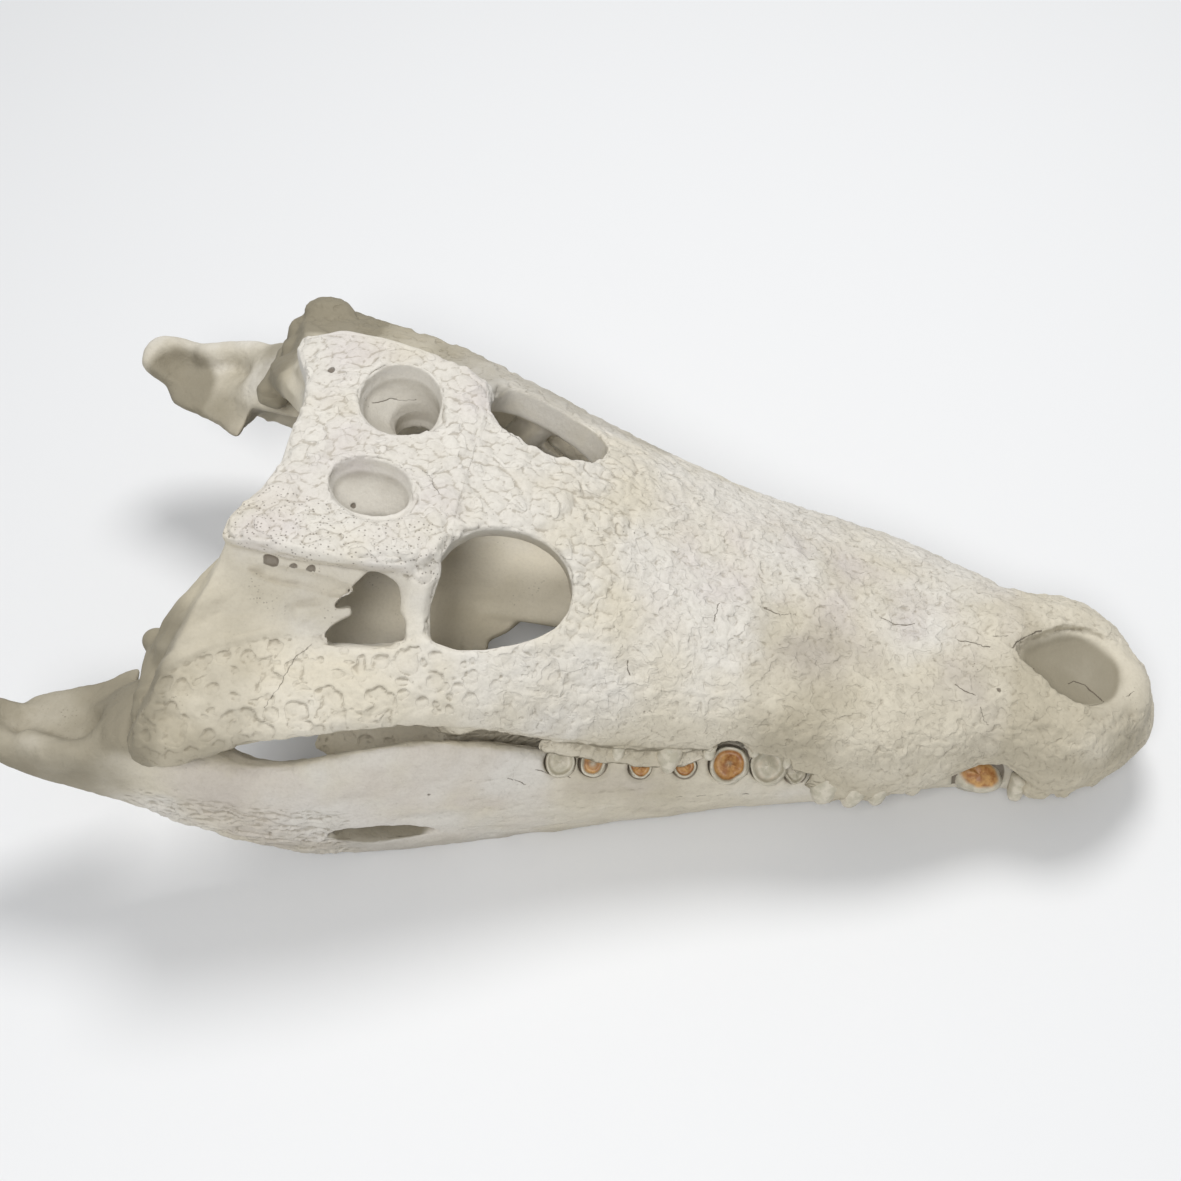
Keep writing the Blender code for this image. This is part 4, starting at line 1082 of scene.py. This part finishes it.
def bone_finish(name, colours, grip):
    """Dry bone: mottled tones, crisp rims round its pits in painted shade, painted shade in its hollows, dirt
    in its grain, cracks and fine pores.
    """
    start = empty_tree(name)
    spot = start.node("TexCoord", output="Object")
    patches = texture(spot, 26.0, 5.0)
    rough = texture(spot, 160.0, 4.0, Roughness=0.6)
    grain = texture(spot, 520.0, 5.0, Roughness=0.65)
    specks = start.node("TexVoronoi", None, {"Vector": spot, "Scale": 420.0})
    chance = texture(spot, 70.0, 2.0)
    wobble = layer(start, "relief") + (rough - 0.5) * 0.9
    basin = wobble.between(0.15, -0.3)
    # Painted shade: thin dark lines along the basins' rims, where the rim mask allows.
    line = wobble.between(-0.6, -0.15) * wobble.between(0.3, 0.05)
    line = line * layer(start, "rim") * chance.between(0.3, 0.6)
    # The dimples shifted a little uphill, so that the painted shade of each dimple and crescent lies on one
    # side of it.
    uphill = start.node("VectorMath", {"operation": "MULTIPLY_ADD"},
                        {0: spot, 1: (1, 0.985, 1), 2: (-0.0005, 0, 0.0008)})
    dimples, downhill = (texture(where, 165.0, 2.0, Distortion=0.5) for where in (spot, uphill))
    fine = layer(start, "fine")
    dimple = dimples.between(0.6, 0.42) * downhill.between(0.62, 0.38) * fine
    crescent = dimples.between(0.43, 0.475) * dimples.between(0.52, 0.485)
    crescent = crescent * (downhill - dimples).between(-0.02, -0.14)
    line = line + crescent * chance.between(0.45, 0.6) * fine
    warmth = layer(start, "warm") + (patches - 0.5) * 0.7
    lilac = layer(start, "lilac") * patches.between(0.35, 0.6)
    hollow = layer(start, "hollow").between(0.1, 1.0)
    stain_and_shade = (layer(start, "stain_and_shade") + (patches - 0.5) * 0.6).between(0.15, 0.95)
    pore = specks.between(0.3, 0.1) * (layer(start, "porous") + (chance - 0.5)).between(0.25, 0.6)
    seam = start.math("ABSOLUTE", layer(start, "seam")) - layer(start, "seam_width") * (0.5 + rough)
    # Cracks and holes are dark; round the crowns the hole mask paints shade in the gap.
    crack = start.math("MAXIMUM", seam.between(0.08, -0.12), layer(start, "hole").between(0.2, -0.4))
    colour = (*colours.pale, 1)
    for share, tint in (
        (warmth.between(-0.05, 0.55), colours.cream),
        (warmth.between(0.5, 1.05), colours.tan),
        (lilac * 0.5, colours.lilac),
        (grain.between(0.4, 0.75) * 0.12, colours.dirt_and_shade),
        # Painted shade in the basins, along their rims, in the crescents and dimples, and in the hollows.
        (basin * 0.05 + line * 0.16 + dimple * 0.1 + hollow * 0.45, colours.dirt_and_shade),
        # Painted shade in broad recesses.
        (layer(start, "shelter").between(0.2, 1.0) * 0.1, colours.dirt_and_shade),
        # Real stains, with painted shade under the upper margin, in the lower jaw's slit and round the
        # crowns.
        (stain_and_shade * 0.88, colours.olive),
        (pore * 0.6, colours.dark),
        (crack * 0.7, colours.dark),
    ):
        colour = share.mixed(colour, (*tint, 1))
    height = grain * 0.2 + rough * 1.2 + pore * -0.3 + (layer(start, "marked") * basin) * -0.4
    height = height + dimple * -1.1 + crack * -0.8
    bump = start.node("Bump", None, {"Strength": grip, "Distance": 0.0006, "Height": height})
    end_tree(colour, grain * 0.2 + 0.65, bump, 0.25)


def tooth_finish(colours):
    """Pale worn enamel round a brown core."""
    start = empty_tree("tooth")
    spot = start.node("TexCoord", output="Object")
    patches, fine = texture(spot, 190.0, 4.0), texture(spot, 700.0, 4.0)
    enamel = patches.between(0.35, 0.65).mixed((*colours.enamel, 1), (*colours.cream, 1))
    brown = (patches * 0.8 + fine * 0.3).between(0.35, 0.75).mixed((*colours.rust, 1), (*colours.amber, 1))
    colour = (layer(start, "core") + (patches - 0.5) * 0.4).between(0.12, 0.6).mixed(enamel, brown)
    colour = (fine.between(0.55, 0.75) * 0.25).mixed(colour, (*colours.dirt_and_shade, 1))
    bump = start.node("Bump", None, {"Strength": 0.4, "Distance": 0.0004, "Height": patches + fine * 0.4})
    end_tree(colour, fine * 0.2 + 0.35, bump, 0.5)


# --- what a user may change ---


def tone(name, description, value):
    return FloatVectorProperty(name=name, description=description, default=value, size=3, min=0, max=1,
                               subtype="COLOR")


class SkullSurface(PropertyGroup):
    """Fineness and strength of the modelled surface."""

    upper_grid: FloatProperty(name="Upper grid", description="Size of the upper skull's facets",
                              default=0.00105, unit="LENGTH")
    lower_grid: FloatProperty(name="Lower grid", description="Size of the lower jaw's facets",
                              default=0.0012, unit="LENGTH")
    sculpture: FloatProperty(name="Sculpture", description="Strength of the pits and wrinkles",
                             default=1.0, subtype="FACTOR")


class SkullColours(PropertyGroup):
    """Tones of the dry bone."""

    pale: tone("Pale", "Bleached bone", (0.70, 0.665, 0.60))
    cream: tone("Cream", "Warm bone of the cheeks", (0.65, 0.595, 0.48))
    tan: tone("Tan", "Bone of the jaw and the deep faces", (0.53, 0.475, 0.36))
    lilac: tone("Lilac", "Faint tint of the roof", (0.64, 0.585, 0.575))
    # Olive serves real stains and painted shade: under the upper margin, in the lower jaw's slit and round
    # the crowns.
    olive: tone("Olive", "Old stain on the rear processes", (0.235, 0.205, 0.145))
    # This tone serves dirt in the grain and on the teeth, and painted shade in the pits, along their rims, in
    # hollows and in recesses.
    dirt_and_shade: tone("Dirt", "What lies in the pits", (0.25, 0.21, 0.15))
    dark: tone("Dark", "Pores and cracks", (0.09, 0.065, 0.045))
    enamel: tone("Enamel", "Worn rims of the teeth", (0.50, 0.46, 0.35))
    amber: tone("Amber", "Light parts of a tooth's core", (0.62, 0.36, 0.13))
    rust: tone("Rust", "Dark parts of a tooth's core", (0.30, 0.11, 0.03))


class SkullStudio(PropertyGroup):
    """Light and floor."""

    lamp: FloatProperty(name="Lamp", description="Strength of each large soft lamp",
                        default=27.0, unit="POWER")
    sky: FloatProperty(name="Sky", description="Strength of the even light around", default=0.36)
    floor: tone("Floor", "Plain pale floor", (0.80, 0.80, 0.80))


# --- operators ---


class SKULL_OT_finishes(Operator):
    """Make the bone finishes"""

    bl_idname = "skull.finishes"
    bl_label = "Bone finishes"

    def execute(self, context):
        colours = context.scene.skull_colours
        for name, grip in (("bleached_bone", 1.0), ("smooth_bone", 0.7), ("stained_bone", 0.7)):
            bone_finish(name, colours, grip)
        tooth_finish(colours)
        return {"FINISHED"}


class SKULL_OT_upper_bones(Operator):
    """Build the fine bones of the upper skull"""

    bl_idname = "skull.upper_bones"
    bl_label = "Upper skull"

    def execute(self, context):
        surface = context.scene.skull_surface
        cuts = (upper_openings, *crown_posts(CROWNS[ARCHED:], *ARCH))
        skin = fine_skin(UPPER_REGIONS, upper_forms, cuts, surface.upper_grid)
        skin.relax(rounds=6, share=np.ones(len(skin.points)))
        sculpture_upper(skin, surface)
        write_seams(skin, UPPER_CRACKS, UPPER_HOLES, CROWNS[ARCHED:])
        tint_upper(skin)
        part_bones(skin, UPPER_REGIONS)
        return {"FINISHED"}


class SKULL_OT_lower_bones(Operator):
    """Build the fine bones of the lower jaw"""

    bl_idname = "skull.lower_bones"
    bl_label = "Lower jaw"

    def execute(self, context):
        surface = context.scene.skull_surface
        cuts = (lower_openings, *crown_posts(CROWNS, *SOCKET))
        skin = fine_skin(LOWER_REGIONS, lower_forms, cuts, surface.lower_grid)
        skin.relax(rounds=8, share=np.ones(len(skin.points)))
        skin.relax(rounds=30, share=ramp(skin.places[:, 0], 103, 106))
        sculpture_lower(skin, surface)
        write_seams(skin, LOWER_CRACKS, LOWER_HOLES, CROWNS + NOTCH_TEETH)
        part_bones(skin, LOWER_REGIONS)
        return {"FINISHED"}


# The photograph's view, worked out from points of the skull that it shows on both sides. Angles
# are in degrees, in the skull's own frame, and the distance is from the middle of the skull.
PHOTO_SIZE = 1181
VIEW_TURN, VIEW_HEIGHT, VIEW_ROLL = -6.123, 52.911, 17.482
VIEW_DISTANCE = 1.0596
VIEW_TARGET = (50, 0, 5)
FOCAL_PIXELS = 1706.13
CENTRE_PIXEL = (718.97, 614.47)
SENSOR = 36.0
FLOOR_REACH = 6
SKY_TINT = (0.93, 0.96, 1, 1)
LAMPS = {"key_lamp": (0.1, 0.9, 2.1), "front_lamp": (0.0, -1.5, 2.0)}
LAMP_SIZE, LAMP_AIM = 0.9, Vector((0, 0, 0.1))


def photo_camera():
    turn, rise, roll = (math.radians(angle) for angle in (VIEW_TURN, VIEW_HEIGHT, VIEW_ROLL))
    right = Vector((math.cos(turn), math.sin(turn), 0))
    back = Vector((math.sin(turn) * math.cos(rise), -math.cos(turn) * math.cos(rise), math.sin(rise)))
    up = back.cross(right)
    tilted_right = math.cos(roll) * right + math.sin(roll) * up
    tilted_up = math.cos(roll) * up - math.sin(roll) * right
    axes = Matrix((tilted_right, tilted_up, back)).transposed()
    lens = bpy.data.cameras.new("photo_camera")
    lens.sensor_width = SENSOR
    lens.lens = FOCAL_PIXELS * SENSOR / PHOTO_SIZE
    lens.shift_x = (PHOTO_SIZE / 2 - CENTRE_PIXEL[0]) / PHOTO_SIZE
    lens.shift_y = (CENTRE_PIXEL[1] - PHOTO_SIZE / 2) / PHOTO_SIZE
    lens.clip_start = 0.01
    camera = new_object("photo_camera", lens)
    tilt = TILT.to_3x3()
    spot = place(*VIEW_TARGET) + tilt @ back * VIEW_DISTANCE
    camera.matrix_world = Matrix.Translation(spot) @ (tilt @ axes).to_4x4()
    bpy.context.scene.camera = camera


class SKULL_OT_teeth(Operator):
    """Build the detailed teeth of both jaws"""

    bl_idname = "skull.teeth"
    bl_label = "Teeth"

    def execute(self, context):
        for side, sign in (("left", 1), ("right", -1)):
            for jaw, rows in ROWS.items():
                teeth_piece(f"{jaw}_teeth_{side}", sign, rows)
        return {"FINISHED"}


class SKULL_OT_stage(Operator):
    """Lay the floor and set the light and the camera"""

    bl_idname = "skull.stage"
    bl_label = "Stage"

    def execute(self, context):
        studio = context.scene.skull_studio
        photo_camera()
        sheet = bmesh.new()
        bmesh.ops.create_grid(sheet, x_segments=1, y_segments=1, size=FLOOR_REACH)
        floor = new_object("floor", saved("floor", sheet))
        paint = bpy.data.materials.new("floor_paint")
        paint.use_nodes = True
        inputs = paint.node_tree.nodes["Principled BSDF"].inputs
        inputs["Base Color"].default_value = (*studio.floor, 1)
        inputs["Roughness"].default_value = 0.9
        floor.data.materials.append(paint)
        sky = bpy.data.worlds.new("sky")
        sky.use_nodes = True
        inputs = sky.node_tree.nodes["Background"].inputs
        inputs["Color"].default_value = SKY_TINT
        inputs["Strength"].default_value = studio.sky
        context.scene.world = sky
        context.scene.view_settings.view_transform = "Standard"
        for name, spot in LAMPS.items():
            lamp = bpy.data.lights.new(name, "AREA")
            lamp.shape = "DISK"
            lamp.size = LAMP_SIZE
            lamp.energy = studio.lamp
            obj = new_object(name, lamp)
            obj.location = spot
            obj.rotation_euler = (Vector(spot) - LAMP_AIM).to_track_quat("Z", "Y").to_euler()
        return {"FINISHED"}


class SKULL_PT_panel(Panel):
    """Lists the skull's operators and settings"""

    bl_label = "Crocodile skull"
    bl_idname = "SKULL_PT_panel"
    bl_space_type = "VIEW_3D"
    bl_region_type = "UI"
    bl_category = "Skull"

    def draw(self, context):
        scene = context.scene
        for operator in OPERATORS:
            self.layout.operator(operator.bl_idname)
        for settings in (scene.skull_surface, scene.skull_colours, scene.skull_studio):
            column = self.layout.column()
            for name in type(settings).__annotations__:
                column.prop(settings, name)


SETTINGS = {"skull_surface": SkullSurface, "skull_colours": SkullColours, "skull_studio": SkullStudio}
OPERATORS = [SKULL_OT_finishes, SKULL_OT_upper_bones, SKULL_OT_lower_bones, SKULL_OT_teeth, SKULL_OT_stage]


def register():
    for made in (*SETTINGS.values(), *OPERATORS, SKULL_PT_panel):
        bpy.utils.register_class(made)
    for name, made in SETTINGS.items():
        setattr(bpy.types.Scene, name, PointerProperty(type=made))


def unregister():
    for name in SETTINGS:
        delattr(bpy.types.Scene, name)
    for made in (SKULL_PT_panel, *reversed(OPERATORS), *SETTINGS.values()):
        bpy.utils.unregister_class(made)


def main():
    register()
    for operator in OPERATORS:
        family, name = operator.bl_idname.split(".")
        getattr(getattr(bpy.ops, family), name)()


if __name__ == "__main__":
    main()
